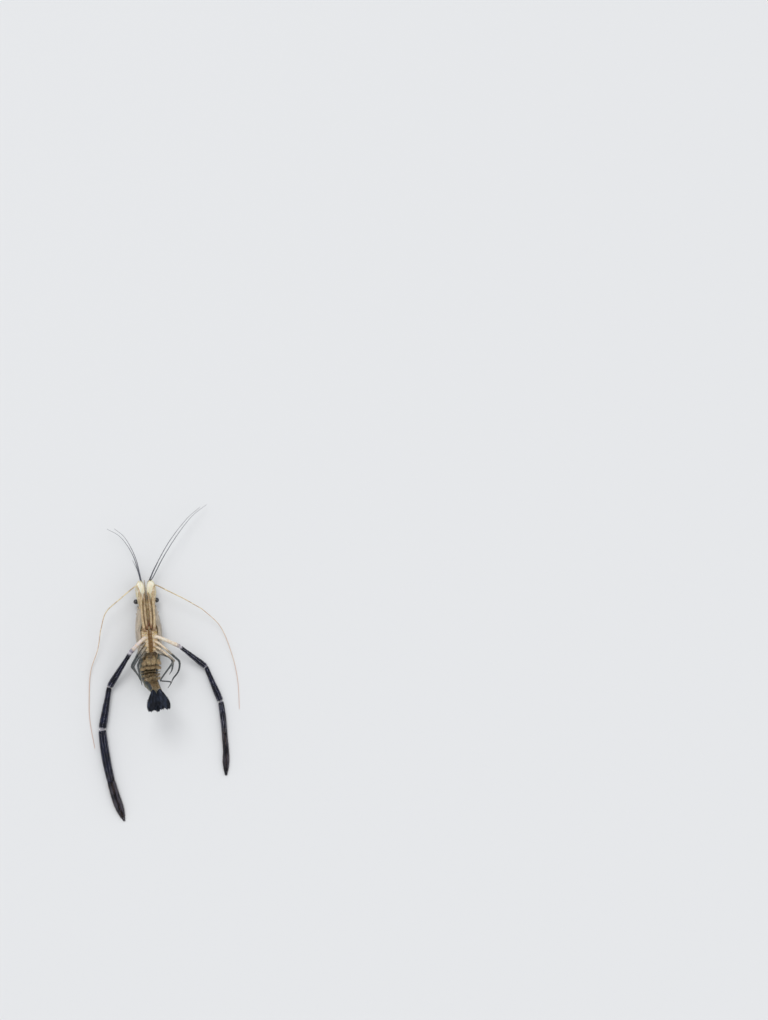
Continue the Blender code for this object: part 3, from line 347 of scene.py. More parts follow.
def evenly(rows, step):
    """Rows of a path read again at equal steps of its length, so that rings stand evenly along it."""
    rows = np.asarray(rows, dtype=float)
    run = travelled(rows[:, :3])
    stations = np.linspace(0.0, run[-1], max(3, int(run[-1] / step) + 1))
    return np.stack([np.interp(stations, run, column) for column in rows.T], axis=1)


def travelled(points):
    """Length travelled along a path at each of its points."""
    return np.concatenate([[0.0], np.cumsum(np.linalg.norm(np.diff(points, axis=0), axis=1))])


def mirrored(rows, side):
    """Rows whose first number is a distance out, set on one side of the midline."""
    rows = np.array(rows, dtype=float)
    rows[:, 0] *= side
    return rows


def bump(distance, width):
    """A smooth hump of height one, that falls off over the given width."""
    return np.exp(-((distance / width) ** 2))


def uneven(points, size, seed):
    """Soft unevenness between about -1 and 1: the mean of eight waves in drawn directions."""
    draw = np.random.default_rng(seed)
    waves = unit(draw.normal(size=(8, 3))) * (FULL_TURN / size) * draw.uniform(0.6, 1.6, (8, 1))
    return np.sin(points @ waves.T + draw.uniform(0, FULL_TURN, 8)).mean(axis=-1) * 1.8


def raised(points, heights):
    """A grid of rings moved along its own normals, which are the cross product of its two slopes."""
    along = np.gradient(points, axis=0)
    wide = 0.5 * (np.roll(points, -1, axis=1) - np.roll(points, 1, axis=1))
    normal = np.cross(wide, along)
    size = np.linalg.norm(normal, axis=-1, keepdims=True)
    normal = normal / np.maximum(size, 1e-9)
    middle = points.mean(axis=1, keepdims=True)
    if (normal * (points - middle)).sum() < 0.0:
        normal = -normal
    return points + normal * np.asarray(heights)[..., None]


def run_of(grid):
    """The share of the way along at each ring of a grid."""
    return np.linspace(0.0, 1.0, len(grid))


def first_columns(points, values):
    """A field over a grid with the values in its first columns and zero in the others."""
    field = np.zeros(points.shape[:2])
    field[:, : np.shape(values)[-1]] = values
    return field


def turns(sides):
    """Even angles round a ring."""
    return np.arange(sides) * FULL_TURN / sides


def columns(*parts):
    """Lists of numbers as upright columns."""
    return (np.asarray(part, dtype=float)[:, None] for part in parts)


def read_at(spots, rows):
    """The rows of a table read between their places, at spots counted in rows."""
    return np.stack([np.interp(spots, np.arange(len(rows)), column) for column in rows.T], axis=1)


def tapered(rows, count):
    """A smooth path through places that each have a half width."""
    return through([np.append(place, half_width) for place, half_width in rows], count)


def rings(rows, sides, flatness=1.0, first=None, last=None):
    """Rings round a path of rows x, y, z, half width: each an ellipse square to the path, its depth
    the half width times the flatness. The first and last may face given directions."""
    rows = np.asarray(rows, dtype=float)
    normals = unit(np.gradient(rows[:, :3], axis=0))
    if first is not None:
        normals[0] = first
    if last is not None:
        normals[-1] = last
    across = unit(np.cross(normals, UP))
    lift = np.cross(across, normals)
    turn = turns(sides)
    half = rows[:, 3:4]
    wide = (half * np.cos(turn))[..., None] * across[:, None]
    deep = (half * flatness * np.sin(turn))[..., None] * lift[:, None]
    return rows[:, None, :3] + wide + deep


def domed(points, depth=0.35):
    """Rings with a rounded cap added beyond each end: rings that shrink as a cosine while they move
    out as a sine, as deep as a share of the end ring's own size."""
    turn = (np.arange(DOME_STEPS) + 1) / (DOME_STEPS + 1) * math.pi / 2

    def cap(end, inner):
        centre = end.mean(axis=0)
        reach = np.linalg.norm(end - centre, axis=1).mean() * depth
        out = unit(centre - inner.mean(axis=0)) * reach
        return centre + (end - centre) * np.cos(turn)[:, None, None] + out * np.sin(turn)[:, None, None]

    return np.concatenate([cap(points[0], points[1])[::-1], points, cap(points[-1], points[-2])])


def closed(points, finish=0, tint=0.0):
    """A closed surface from a grid of rings: quads between the rings and a fan to a pole over each end.

    Its place holds the length along it in millimetres, the share round it, and the tint."""
    points = np.array(points, dtype=float)
    points[..., 2] = np.maximum(points[..., 2], FLOOR)
    count, sides, _ = points.shape
    index = np.arange(count * sides).reshape(count, sides)
    after = np.roll(index, -1, axis=1)
    quads = np.stack([index[:-1], after[:-1], after[1:], index[1:]], axis=-1).reshape(-1, 4)
    low, high = count * sides, count * sides + 1
    first = np.stack([after[0], index[0], np.full(sides, low)], axis=-1)
    last = np.stack([index[-1], after[-1], np.full(sides, high)], axis=-1)
    poles = np.stack([points[0].mean(axis=0), points[-1].mean(axis=0)])
    run = travelled(points.mean(axis=1))
    tint = np.asarray(tint, dtype=float)
    tint = np.broadcast_to(tint[:, None] if tint.ndim == 1 else tint, (count, sides))
    share = np.broadcast_to(np.arange(sides) / sides, (count, sides))
    place = np.stack([np.broadcast_to(run[:, None], (count, sides)), share, tint], axis=-1).reshape(-1, 3)
    ends = [[run[0], 0.5, tint[0].mean()], [run[-1], 0.5, tint[-1].mean()]]
    points = np.vstack([points.reshape(-1, 3), poles])
    return turned_out(Surface(points, [quads, first, last], np.vstack([place, ends]), finish, None))


def turned_out(surface):
    """The surface with its faces turned outwards, judged by the volume that they enclose."""
    volume = 0.0
    for faces in surface.faces:
        corners = surface.points[faces] - surface.points.mean(axis=0)
        for k in range(1, faces.shape[1] - 1):
            volume += (corners[:, 0] * np.cross(corners[:, k], corners[:, k + 1])).sum()
    if volume >= 0.0:
        return surface
    return surface._replace(faces=[faces[:, ::-1] for faces in surface.faces])


def blob(centre, radii, folds, fold_count, around=36, rows=20, finish=0, tint=0.0, turn=None):
    """An ellipsoid whose radius waves with the angle round it, as skin folds do, closed at both poles."""
    polar = np.linspace(0.0, math.pi, rows + 2)[1:-1, None]
    angle = turns(around)[None]
    swell = 1.0 + folds * np.sin(fold_count * angle) * np.sin(polar)
    x, y = np.sin(polar) * np.cos(angle) * swell, np.sin(polar) * np.sin(angle) * swell
    points = np.stack([x, y, np.cos(polar) * np.ones_like(angle)], axis=-1) * np.asarray(radii)
    if turn is not None:
        points = points @ turn.T
    return closed(points + np.asarray(centre), finish, tint)


def thorns(feet, directions, lengths, radii, sides, finish=0, tint=0.0, sink=0.35, bow=None):
    """Many spines at once: each is rings that taper to a point along its direction, its root sunk in."""
    feet, directions = np.atleast_2d(feet).astype(float), unit(np.atleast_2d(directions))
    count = len(feet)
    lengths = np.broadcast_to(np.asarray(lengths, dtype=float), count)
    radii = np.broadcast_to(np.asarray(radii, dtype=float), count)
    shares = np.array([0.0, 0.3, 0.65])
    taper = np.array([1.0, 0.72, 0.36])
    helper = np.where(np.abs(directions[:, 2:]) > 0.9, ACROSS, UP)
    wide = unit(np.cross(directions, helper))
    deep = np.cross(wide, directions)
    bow = np.zeros(3) if bow is None else np.asarray(bow)
    bow = np.broadcast_to(bow, (count, 3))
    turn = turns(sides)
    reach = shares[None, :, None] * (lengths + sink * radii)[:, None, None] - sink * radii[:, None, None]
    spine = feet[:, None] + directions[:, None] * reach + bow[:, None] * (shares**2)[None, :, None]
    ring = wide[:, None] * np.cos(turn)[None, :, None] + deep[:, None] * np.sin(turn)[None, :, None]
    bodies = spine[:, :, None] + ring[:, None] * (radii[:, None] * taper)[:, :, None, None]
    tips = feet + directions * lengths[:, None] + bow
    each = 3 * sides + 1
    points = np.concatenate([bodies.reshape(count, -1, 3), tips[:, None]], axis=1)
    k = np.arange(sides)
    after = (k + 1) % sides
    band = np.stack([k, after, after + sides, k + sides], -1)
    quads = np.concatenate([band, band + sides])
    tops = np.stack([k + 2 * sides, after + 2 * sides, np.full(sides, 3 * sides)], -1)
    base = k[::-1][None]
    shift = (np.arange(count) * each)[:, None, None]
    faces = [(part[None] + shift).reshape(-1, part.shape[1]) for part in (quads, tops, base)]
    along = np.concatenate([np.repeat(shares, sides), [1.0]])
    place = np.zeros((count, each, 3))
    place[..., 0] = along * lengths[:, None]
    place[..., 2] = np.asarray(tint, dtype=float).reshape(-1, 1) * (0.25 + 0.75 * along)
    return turned_out(Surface(points.reshape(-1, 3), faces, place.reshape(-1, 3), finish, None))


def setae(feet, directions, lengths, thickness, patches):
    """Many bristles at once, each a three-sided taper. Its patch lies round its root on the unwrap."""
    surface = thorns(feet, directions, lengths, thickness, 3, sink=1.0)
    patches = np.asarray(patches, dtype=float)
    corner = np.array([(0.0, 0.0), (1.0, 0.0), (0.5, 1.0)]) * PATCH
    spread = np.vstack([corner, corner * 0.8, corner * 0.6, [[0.5 * PATCH, 0.5 * PATCH]]])
    spread = (patches[:, None] * (1.0 - PATCH) + spread[None]).reshape(-1, 2)
    return surface._replace(patches=spread)


def leaf(root, tip, across, half_width, thickness, camber, blunt, rays=0, relief=0.12, size=(60, 41)):
    """A leaf-shaped plate: its half width follows a rounded outline along it, its thickness falls to the
    edges, its middle is raised by the camber, and rays run along it as cosine ridges on both faces."""
    root, tip = np.asarray(root, dtype=float), np.asarray(tip, dtype=float)
    along = unit(tip - root)
    across = unit(across - along * np.dot(across, along))
    lift = np.cross(across, along)
    u = 0.5 - 0.5 * np.cos(np.linspace(0.0, math.pi, size[0]))
    v = np.sin(np.linspace(-0.5, 0.5, size[1]) * math.pi)
    width = half_width * leaf_width(u, blunt)
    bow = camber * (1 - v**2)
    ridge = relief * (0.5 + 0.5 * np.cos(v * rays * math.pi)) * (1 - v**4) if rays else 0.0
    fall = np.sqrt(np.clip(1.0 - 0.92 * v**6, 0.0, 1.0))
    ends = np.clip(np.minimum(u, 1.0 - u) / 0.02, 0.25, 1.0)[:, None]
    thick = (0.5 * thickness * (1.0 - 0.35 * v**2) * fall + ridge) * ends
    spread = across * (width[:, None] * v)[..., None]
    middle = root + (tip - root) * u[:, None, None] + spread + lift * bow[:, None]
    upper = middle + lift * thick[..., None]
    lower = middle - lift * thick[..., None]
    return np.concatenate([upper, lower[:, ::-1]], axis=1)


def leaf_width(u, blunt):
    """The share of its half width that a leaf has along it: a sine rise, then an elliptic end."""
    wide = blunt + (1 - blunt) * np.sin(np.minimum(u / 0.62, 1.0) * math.pi / 2)
    end = np.clip((u - 0.62) / 0.385, 0.0, 1.0)
    return np.maximum(wide * np.sqrt(np.clip(1.0 - end**2, 0.0, 1.0)), 0.05)


def leaf_fringe(root, tip, across, half_width, blunt, count, first):
    """Feet, directions and shares of a fringe along both edges and the end of a leaf."""
    root, tip = np.asarray(root, dtype=float), np.asarray(tip, dtype=float)
    along = unit(tip - root)
    across = unit(across - along * np.dot(across, along))
    share = np.linspace(-1.0, 1.0, count)
    u = first + (1.0 - first) * np.sin((1.0 - np.abs(share)) * math.pi / 2)
    side = np.sign(share)
    width = half_width * leaf_width(u, blunt)
    feet = root + (tip - root) * u[:, None] + across * (side * width)[:, None]
    fan = np.clip((u - 0.5) / 0.5, 0.0, 1.0)
    directions = unit(across * (side * (1.0 - 0.8 * fan))[:, None] + along * (0.55 + fan)[:, None])
    return feet, directions, np.stack([u, 0.5 + 0.5 * side * width / half_width], axis=1)


def add_node(tree, kind, links=None, **settings):
    """Adds a node, sets its settings and the values of its sockets, and links its inputs."""
    made = tree.nodes.new(kind)
    for name, value in settings.items():
        if hasattr(made, name):
            setattr(made, name, value)
        else:
            made.inputs[name.replace("_", " ")].default_value = value
    for name, source in (links or {}).items():
        tree.links.new(source, made.inputs[name])
    return made


def new_material(name):
    """A new material with its node tree and its shader."""
    made = bpy.data.materials.new(name)
    made.use_nodes = True
    return made, made.node_tree, made.node_tree.nodes["Principled BSDF"]


def clouds(tree, vector, size, detail):
    """The value of a noise texture whose size is in millimetres."""
    made = add_node(tree, "ShaderNodeTexNoise", {"Vector": vector}, Scale=1.0 / (size * MM), Detail=detail)
    return made.outputs["Fac"]


def cells(tree, vector, size):
    """The distance from the middle of each cell of a texture whose size is in millimetres."""
    made = add_node(tree, "ShaderNodeTexVoronoi", {"Vector": vector}, Scale=1.0 / (size * MM))
    return made.outputs["Distance"]


def ranged(tree, value, **settings):
    """A value mapped from one range to another."""
    return add_node(tree, "ShaderNodeMapRange", {"Value": value}, **settings).outputs["Result"]


def worked_out(tree, operation, *values):
    """The result of a sum with outputs of nodes or numbers."""
    linked = {k: value for k, value in enumerate(values) if isinstance(value, bpy.types.NodeSocket)}
    made = add_node(tree, "ShaderNodeMath", linked, operation=operation)
    for k, value in enumerate(values):
        if k not in linked:
            made.inputs[k].default_value = value
    return made.outputs["Value"]


def mixed(tree, factor, first, second):
    """A mix of two colours by a factor, each a colour or the output of a node."""
    made = add_node(tree, "ShaderNodeMix", {"Factor": factor}, data_type="RGBA")
    for name, colour in (("A", first), ("B", second)):
        socket = next(each for each in made.inputs if each.name == name and each.type == "RGBA")
        if isinstance(colour, bpy.types.NodeSocket):
            tree.links.new(colour, socket)
        else:
            socket.default_value = (*colour[:3], 1.0)
    return next(each for each in made.outputs if each.type == "RGBA")


def roughened(tree, height, strength, depth):
    """Gives the shader relief from a height, its depth in millimetres."""
    made = add_node(tree, "ShaderNodeBump", {"Height": height}, Strength=strength, Distance=depth * MM)
    tree.links.new(made.outputs["Normal"], tree.nodes["Principled BSDF"].inputs["Normal"])


def set_inputs(node, **values):
    """Sets the values of a node's sockets."""
    for name, value in values.items():
        node.inputs[name.replace("_", " ")].default_value = value


def scaled(colour, share):
    """A colour darkened or lightened by a share."""
    return tuple(share * part for part in colour)


def chitin(name, main, second, tinted, mottle=4.0, streak=(1.0, 1.0, 1.0), roughness=0.38, relief=0.08,
           grain=0.5, glow=0.1, coat=0.25, rings_every=0.0, dots=0.0, shine=0.5):
    """A shell or skin finish, made once for each name.

    Two colours mottle at a size in millimetres, a third follows the tint of the place, fine grain gives
    relief, and where asked ring grooves run round it or pigment dots are sprinkled on it."""
    if name in bpy.data.materials:
        return bpy.data.materials[name]
    made, tree, shader = new_material(name)
    seat = add_node(tree, "ShaderNodeTexCoord").outputs["Object"]
    place = add_node(tree, "ShaderNodeAttribute", attribute_name="place").outputs["Vector"]
    parts = add_node(tree, "ShaderNodeSeparateXYZ", {"Vector": place}).outputs
    stretched = add_node(tree, "ShaderNodeMapping", {"Vector": seat}, Scale=streak).outputs["Vector"]
    cloud = clouds(tree, stretched, mottle, 5.0)
    spread = ranged(tree, cloud, From_Min=0.38, From_Max=0.62, interpolation_type="SMOOTHSTEP")
    colour = mixed(tree, spread, main, second)
    edge = worked_out(tree, "ADD", cloud, parts["Z"])
    colour = mixed(tree, ranged(tree, edge, From_Min=0.7, From_Max=1.35), colour, tinted)
    if dots:
        spots = ranged(tree, cells(tree, seat, dots), From_Min=0.16, From_Max=0.30)
        colour = mixed(tree, spots, scaled(main, 0.45), colour)
    tree.links.new(colour, shader.inputs["Base Color"])
    fine = height = clouds(tree, seat, grain, 3.0)
    if rings_every:
        wave = worked_out(tree, "SINE", worked_out(tree, "MULTIPLY", parts["X"], FULL_TURN / rings_every))
        height = worked_out(tree, "ADD", wave, fine)
    dull = ranged(tree, fine, To_Min=roughness - 0.07, To_Max=roughness + 0.1)
    tree.links.new(dull, shader.inputs["Roughness"])
    roughened(tree, height, 0.5, relief)
    set_inputs(
        shader, IOR=1.56, Specular_IOR_Level=shine, Coat_Weight=coat, Coat_Roughness=0.18,
        Subsurface_Weight=glow, Subsurface_Radius=GLOW_DEPTHS, Subsurface_Scale=1.0,
    )
    return made


def flat(values, kind=np.float32):
    """Numbers as one flat list of a kind."""
    return np.asarray(values).astype(kind).ravel()


def put(name, surfaces, finishes, nodes=()):
    """Puts surfaces into one mesh object that rides on the model and stands for its nodes."""
    mesh = bpy.data.meshes.new(name)
    starts = np.cumsum([0] + [len(surface.points) for surface in surfaces])
    points = np.concatenate([surface.points for surface in surfaces])
    corners, sizes, finish = [], [], []
    for surface, start in zip(surfaces, starts):
        for faces in surface.faces:
            corners.append((faces + start).ravel())
            sizes.append(np.full(len(faces), faces.shape[1]))
            finish.append(np.full(len(faces), surface.finish))
    corners, sizes, finish = (np.concatenate(part) for part in (corners, sizes, finish))
    mesh.vertices.add(len(points))
    mesh.vertices.foreach_set("co", flat(points * MM))
    mesh.loops.add(len(corners))
    mesh.loops.foreach_set("vertex_index", flat(corners, np.int32))
    mesh.polygons.add(len(sizes))
    mesh.polygons.foreach_set("loop_start", flat(np.cumsum(sizes) - sizes, np.int32))
    mesh.polygons.foreach_set("material_index", flat(finish, np.int32))
    mesh.update(calc_edges=True)
    place = mesh.attributes.new("place", "FLOAT_VECTOR", "POINT")
    place.data.foreach_set("vector", flat(np.concatenate([surface.place for surface in surfaces])))
    if surfaces[0].patches is not None:
        unwrap = mesh.uv_layers.new(name="OFBake")
        patches = np.concatenate([surface.patches for surface in surfaces])
        unwrap.data.foreach_set("uv", flat(patches[corners]))
    for material in finishes:
        mesh.materials.append(material)
    mesh.shade_smooth()
    mesh.set_sharp_from_angle(angle=CREASE)
    if mesh.validate():
        raise RuntimeError(f"{name} has broken faces")
    made = bpy.data.objects.new(name, mesh)
    bpy.context.scene.collection.objects.link(made)
    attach(made, "root")
    if nodes:
        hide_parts(*nodes)
    return made


def shell_grid(half_width, back, middle, edge, groove, count, tuck=0.0):
    """Cross-sections of a shell that is open on the belly side, as across and up for each station.

    Two unlike half ellipses run round the back and on by the tuck in degrees, a half circle rounds each
    edge, and a flat-floored groove lies between the edges."""
    half_width, back, middle, edge, groove = columns(half_width, back, middle, edge, groove)
    reach = EDGE_ANGLE + np.radians(np.maximum(np.asarray(tuck), 0.0)).reshape(-1, 1)
    turn = np.linspace(-1.0, 1.0, count) * reach
    above = (edge - middle) / -math.cos(EDGE_ANGLE)
    outer_up = middle - np.where(np.cos(turn) > 0, middle - back, above) * np.cos(turn)
    outer_out = half_width * np.sin(turn)
    rim = half_width * math.sin(EDGE_ANGLE)
    lip = np.linspace(0.0, math.pi, EDGE_COLUMNS + 2)[1:-1]
    share = 0.5 * (1 - np.cos(lip))
    lip_out = outer_out[:, -1:] * (1 - share) + (rim - SHELL_WALL) * share
    lip_up = outer_up[:, -1:] * (1 - share) + (edge - RIM_DROP) * share + 0.4 * np.sin(lip)
    wall = np.linspace(0.0, 1.0, WALL_COLUMNS)
    wall_up = edge - RIM_DROP + (groove - edge + RIM_DROP) * wall
    wall_out = np.broadcast_to(rim - SHELL_WALL, wall_up.shape)
    floor = np.linspace(1.0, -1.0, FLOOR_COLUMNS + 2)[1:-1]
    floor_out = (rim - SHELL_WALL) * floor
    floor_up = np.broadcast_to(groove, floor_out.shape)
    out = np.concatenate([outer_out, lip_out, wall_out, floor_out, -wall_out, -lip_out[:, ::-1]], axis=1)
    up = np.concatenate([outer_up, lip_up, wall_up, floor_up, wall_up[:, ::-1], lip_up[:, ::-1]], axis=1)
    return out, up


def lean_front(points):
    """Slopes the head end back towards the belly, more and more from the mouth to the front."""
    points = np.array(points, dtype=float)
    share = np.clip((points[..., 1] - HEAD_SPLIT - 1.0) / (CARAPACE_FRONT - HEAD_SPLIT), 0.0, 1.0)
    points[..., 1] -= FRONT_SLOPE * share * (points[..., 2] - CARAPACE_STATIONS[-1][2])
    return points


def carapace_at(y, column):
    """One column of the carapace stations at places along the body."""
    rows = through(CARAPACE_STATIONS, 24)
    return np.interp(y, rows[:, 0], rows[:, column])


def groove_half_width(y):
    """Half the width of the carapace's groove at places along the body."""
    return carapace_at(y, 1) * math.sin(EDGE_ANGLE) - SHELL_WALL


def vaulted(y, half_width, floor, side, vault):
    """Rings with a flat floor, upright sides and a low vault towards the belly."""
    y, half_width, floor, side, vault = columns(y, half_width, floor, side, vault)
    turn = np.linspace(0.0, math.pi, VAULT_SIDES)
    arch = np.stack([half_width * np.cos(turn), y + 0 * turn, side + vault * np.sin(turn)], axis=-1)
    low = [np.stack([half_width * s, y, floor], axis=-1) for s in (-1.0, -0.5, 0.0, 0.5, 1.0)]
    return np.concatenate([arch, *low], axis=1)


def belly_vault(stations):
    """The vault through stations of the belly, between the carapace's walls, and its arch's weight."""
    rows = through(stations, 34)
    y = rows[:, 0]
    points = vaulted(y, groove_half_width(y) - GAP, carapace_at(y, 5) + GAP, rows[:, 1], rows[:, 2])
    return points, first_columns(points, np.sin(np.linspace(0.0, math.pi, VAULT_SIDES)) ** 0.5)


def make_carapace(sizes, colours):
    """The carapace: the solids' stations read finely, with the branchial and cervical grooves pressed
    in as smooth troughs along curves, raised front and rear margins, and soft unevenness."""
    rows = through(CARAPACE_STATIONS, 26)
    count = 150
    out, up = shell_grid(*rows[:, 1:6].T, count, rows[:, 6])
    points = np.stack([out, np.broadcast_to(rows[:, :1], out.shape), up], axis=-1)
    y, z = points[..., 1], points[..., 2]
    outer = first_columns(points, np.sin(np.linspace(0.0, math.pi, count)) ** 0.3)
    branchial = bump(z - (BRANCHIAL_GROOVE + 0.03 * (y - 30)), 0.7) * np.clip((y - 14) / 10, 0, 1)
    neck = NECK_GROOVE - 0.075 * np.clip(16.5 - z, 0.0, None) ** 1.6
    cervical = bump(y - neck, 1.0) * (z < 16.8) * np.clip((z - 1.0) / 5, 0, 1)
    gill = bump(y - (GILL_HOLLOW - 0.9 * np.abs(z - 20.0)), 1.6) * (z > 18) * 0.5
    margin = bump(y - CARAPACE_FRONT, 0.9) + bump(y - CARAPACE_REAR, 1.1)
    margin = margin - 0.8 * bump(y - CARAPACE_FRONT + 2.2, 0.8)
    soft = 0.14 * uneven(points, 9.0, 3) + 0.05 * uneven(points, 3.0, 4)
    heights = outer * (0.35 * margin - 0.42 * branchial - 0.38 * cervical - 0.3 * gill + soft)
    points = lean_front(raised(points, heights))
    beside = np.abs(np.linspace(-1.0, 1.0, count))
    shade = 1.15 * np.clip(1.0 - beside / 0.62, 0.0, 1.0) ** 0.6
    parts = [closed(points, 0, first_columns(points, shade))]
    for side in SIDES.values():
        for foot, direction in SHELL_SPINES:
            place, towards = mirrored([foot, direction], side)
            parts.append(thorns(place, towards, *SHELL_SPINE_SIZE, 14, 0, 0.2))
    shell = chitin(
        "carapace, moulted chitin, thin and translucent", colours.flank, colours.flank_dark, colours.back,
        mottle=5.0, streak=(1.0, 0.35, 1.0), roughness=0.34, relief=0.05, dots=1.5, glow=0.14, coat=0.35,
    )
    put("carapace_shell", parts, [shell], ["carapace"])


def make_rostrum(sizes, colours):
    """The rostrum: an elliptic blade carried along its stations, with a midrib, a crest that runs back
    over the carapace, and curved teeth along both edges."""
    rows = through(CREST + ROSTRUM_STATIONS, 22)
    turn = turns(ROSTRUM_SIDES)
    y, middle, half_height, half_width = columns(*rows.T)
    out = half_width * np.cos(turn) * (1.0 + 0.25 * np.cos(turn) ** 6)
    points = np.stack([out, y + 0 * turn, middle + half_height * np.sin(turn)], axis=-1)
    fade = np.clip(1.0 - (points[..., 1] - CARAPACE_FRONT) / 12.0, 0.0, 1.0) * (points[..., 1] > 44)
    points[..., 1] -= FRONT_SLOPE * fade * (points[..., 2] - CARAPACE_STATIONS[-1][2])
    parts = [closed(points, 0, 0.05 + 0.25 * np.abs(np.sin(turn))[None] ** 3 + 0 * y)]
    blade = points[int(0.42 * len(points)) :]
    for edge, teeth, first, last in ROSTRUM_TEETH:
        column = ROSTRUM_SIDES * (3 if edge < 0 else 1) // 4
        share = first + (last - first) * (np.arange(teeth) + 0.5) / teeth
        feet = read_at(share * (len(blade) - 1), blade[:, column])
        reach = 1.75 * (1.0 - 0.35 * share)
        lean = unit(np.stack([0 * share, 0.85 + 0 * share, edge * (0.75 - 0.2 * share)], axis=1))
        parts.append(thorns(feet, lean, reach, 0.62 - 0.2 * share, 10, 0, 0.4, bow=(0, 0.35, 0)))
    shell = chitin(
        "rostrum, hard chitin blade", colours.rostrum, colours.flank, colours.ridge,
        mottle=3.0, roughness=0.32, relief=0.04, coat=0.4, dots=1.4,
    )
    put("rostrum_blade", parts, [shell], ["rostrum"])


def make_sternum(sizes, colours):
    """The breast plates: the solids' vault read finely, with a groove between each pair of plates, a line
    down the middle, and a raised socket where each leg leaves it."""
    points, arch = belly_vault(STERNUM_STATIONS)
    x, along = points[..., 0], points[..., 1]
    seams = sum(bump(along - place, 0.55) for place in SEAMS)
    keel = bump(x, 0.5)
    beside = bump(np.abs(x) - 2.4, 0.8)
    points = raised(points, arch * (0.3 * beside - 0.5 * seams - 0.3 * keel + 0.1 * uneven(points, 3.0, 8)))
    tint = 1.15 * bump(x - 0.4, 3.6) * arch + 0.25 * seams * arch - 0.8 * bump(x + 4.6, 0.8)
    parts = [closed(points, 0, tint)]
    for side in SIDES.values():
        for place, size in SOCKETS:
            centre = (SOCKET_OUT * side, place, SOCKET_LEVEL)
            parts.append(blob(centre, (size, size * 0.92, 2.2), 0.03, 7, tint=0.25))
    skin = chitin(
        "breast plates, pale calcified chitin", colours.breast, colours.leg_base, colours.breast_band,
        mottle=3.0, roughness=0.42, relief=0.06, glow=0.2, shine=0.25,
    )
    put("breast_plates", parts, [skin], ["sternum"])


def make_head(sizes, colours):
    """The underside of the head: the solids' vault with long folds as cosines across it, the brow as a
    rounded block, and the snout."""
    points, arch = belly_vault(HEAD_STATIONS)
    lines = np.cos(points[..., 0] * 1.7 + 0.35 * np.sin(points[..., 1] * 0.21))
    points = raised(points, arch * (0.28 * lines + 0.12 * uneven(points, 4.0, 12)))
    tint = arch * np.clip(-lines, 0, 1) * np.interp(points[..., 1], (36.0, 48.0), (0.55, 0.2))
    parts = [closed(lean_front(points), 0, tint)]
    run = np.linspace(0.0, 1.0, 30)[:, None]
    swell = np.sqrt(np.clip(1.0 - np.clip((run - 0.62) / 0.4, 0, 1) ** 2 * 0.5, 0, 1))
    turn = turns(72)
    out = BROW_HALF_WIDTH * swell * (np.sign(np.cos(turn)) * np.abs(np.cos(turn)) ** 0.6)
    along = BROW_REAR + (HEAD_FRONT - BROW_REAR) * run + 0 * turn
    upward = np.sign(np.sin(turn)) * np.abs(np.sin(turn)) ** 0.75
    up = 0.5 * (BROW_HIGH + BROW_LOW) + 0.5 * (BROW_HIGH - BROW_LOW) * swell * upward
    brow = np.stack([out, along, up], axis=-1)
    brow = raised(brow, 0.16 * uneven(brow, 3.5, 14) - 0.25 * bump(brow[..., 0], 0.8))
    parts.append(closed(lean_front(domed(brow, 0.1)), 0, 0.2))
    middle, half_height, half_width = SNOUT
    rows = [(0.0, SNOUT_SPAN[0], middle, half_width), (0.0, SNOUT_SPAN[1] - 1.0, middle, half_width * 0.98)]
    parts.append(closed(domed(rings(evenly(rows, 0.5), 40, half_height / half_width), 0.3), 0, 0.1))
    skin = chitin(
        "underside of the head, tan skin with brown folds", colours.head_light, colours.breast,
        colours.line, mottle=3.5, streak=(1.0, 0.3, 1.0), roughness=0.45, relief=0.07, glow=0.2,
    )
    put("head_underside", parts, [skin], ["head"])


def make_mouth(sizes, colours):
    """The mouth: lip and jaws as folded ellipsoids, and thin leaves of the inner mouth legs over them."""
    centre, radii = LIP
    parts = [blob(centre, radii, 0.05, 11)]
    for side in SIDES.values():
        centre, radii = JAW
        parts.append(blob(mirrored([centre], side)[0], radii, 0.05, 9))
        for first, last, half_width, camber, relief, tint in INNER_LEAVES:
            start, end = mirrored([first, last], side)
            parts.append(closed(leaf(start, end, ACROSS, half_width, 0.8, camber, 0.6, 3, relief), 0, tint))
        parts.append(closed(rings(through(mirrored(PALP, side), 12), 8), 0, 1.0))
    skin = chitin(
        "mouthparts, brown horny chitin", colours.mouth, scaled(colours.mouth, 0.55), colours.head,
        mottle=2.0, roughness=0.45, relief=0.08, glow=0.1,
    )
    put("mouth_jaws", parts, [skin], ["mouthparts"])


def abdomen_joints():
    """Places, directions and sizes at the seven joints of the abdomen, which sways a little."""
    y, z = ABDOMEN_START
    places, pitches = [np.array([TAIL_SWAYS[0], y, z])], []
    for (length, pitch, _, _), sway in zip(SOMITES, TAIL_SWAYS[1:]):
        turn = math.radians(pitch)
        y -= length * math.cos(turn)
        z += length * math.sin(turn)
        places.append(np.array([sway, y, z]))
        pitches.append(turn)
    ends = pitches + [math.radians(FAN_PITCH + FAN_TURN)]
    facing = [0.0] + [0.5 * (a + b) for a, b in zip(ends, ends[1:])]
    return places, facing, [somite[2:] for somite in SOMITES] + [TAIL_END]


def tail_frame(pitch):
    """The directions backwards along the tail and out of its belly side at one or many pitches."""
    pitch = np.asarray(pitch, dtype=float)
    zero = np.zeros_like(pitch)
    out = np.stack([zero, np.sin(pitch), np.cos(pitch)], -1)
    return np.stack([zero, -np.cos(pitch), np.sin(pitch)], -1), out


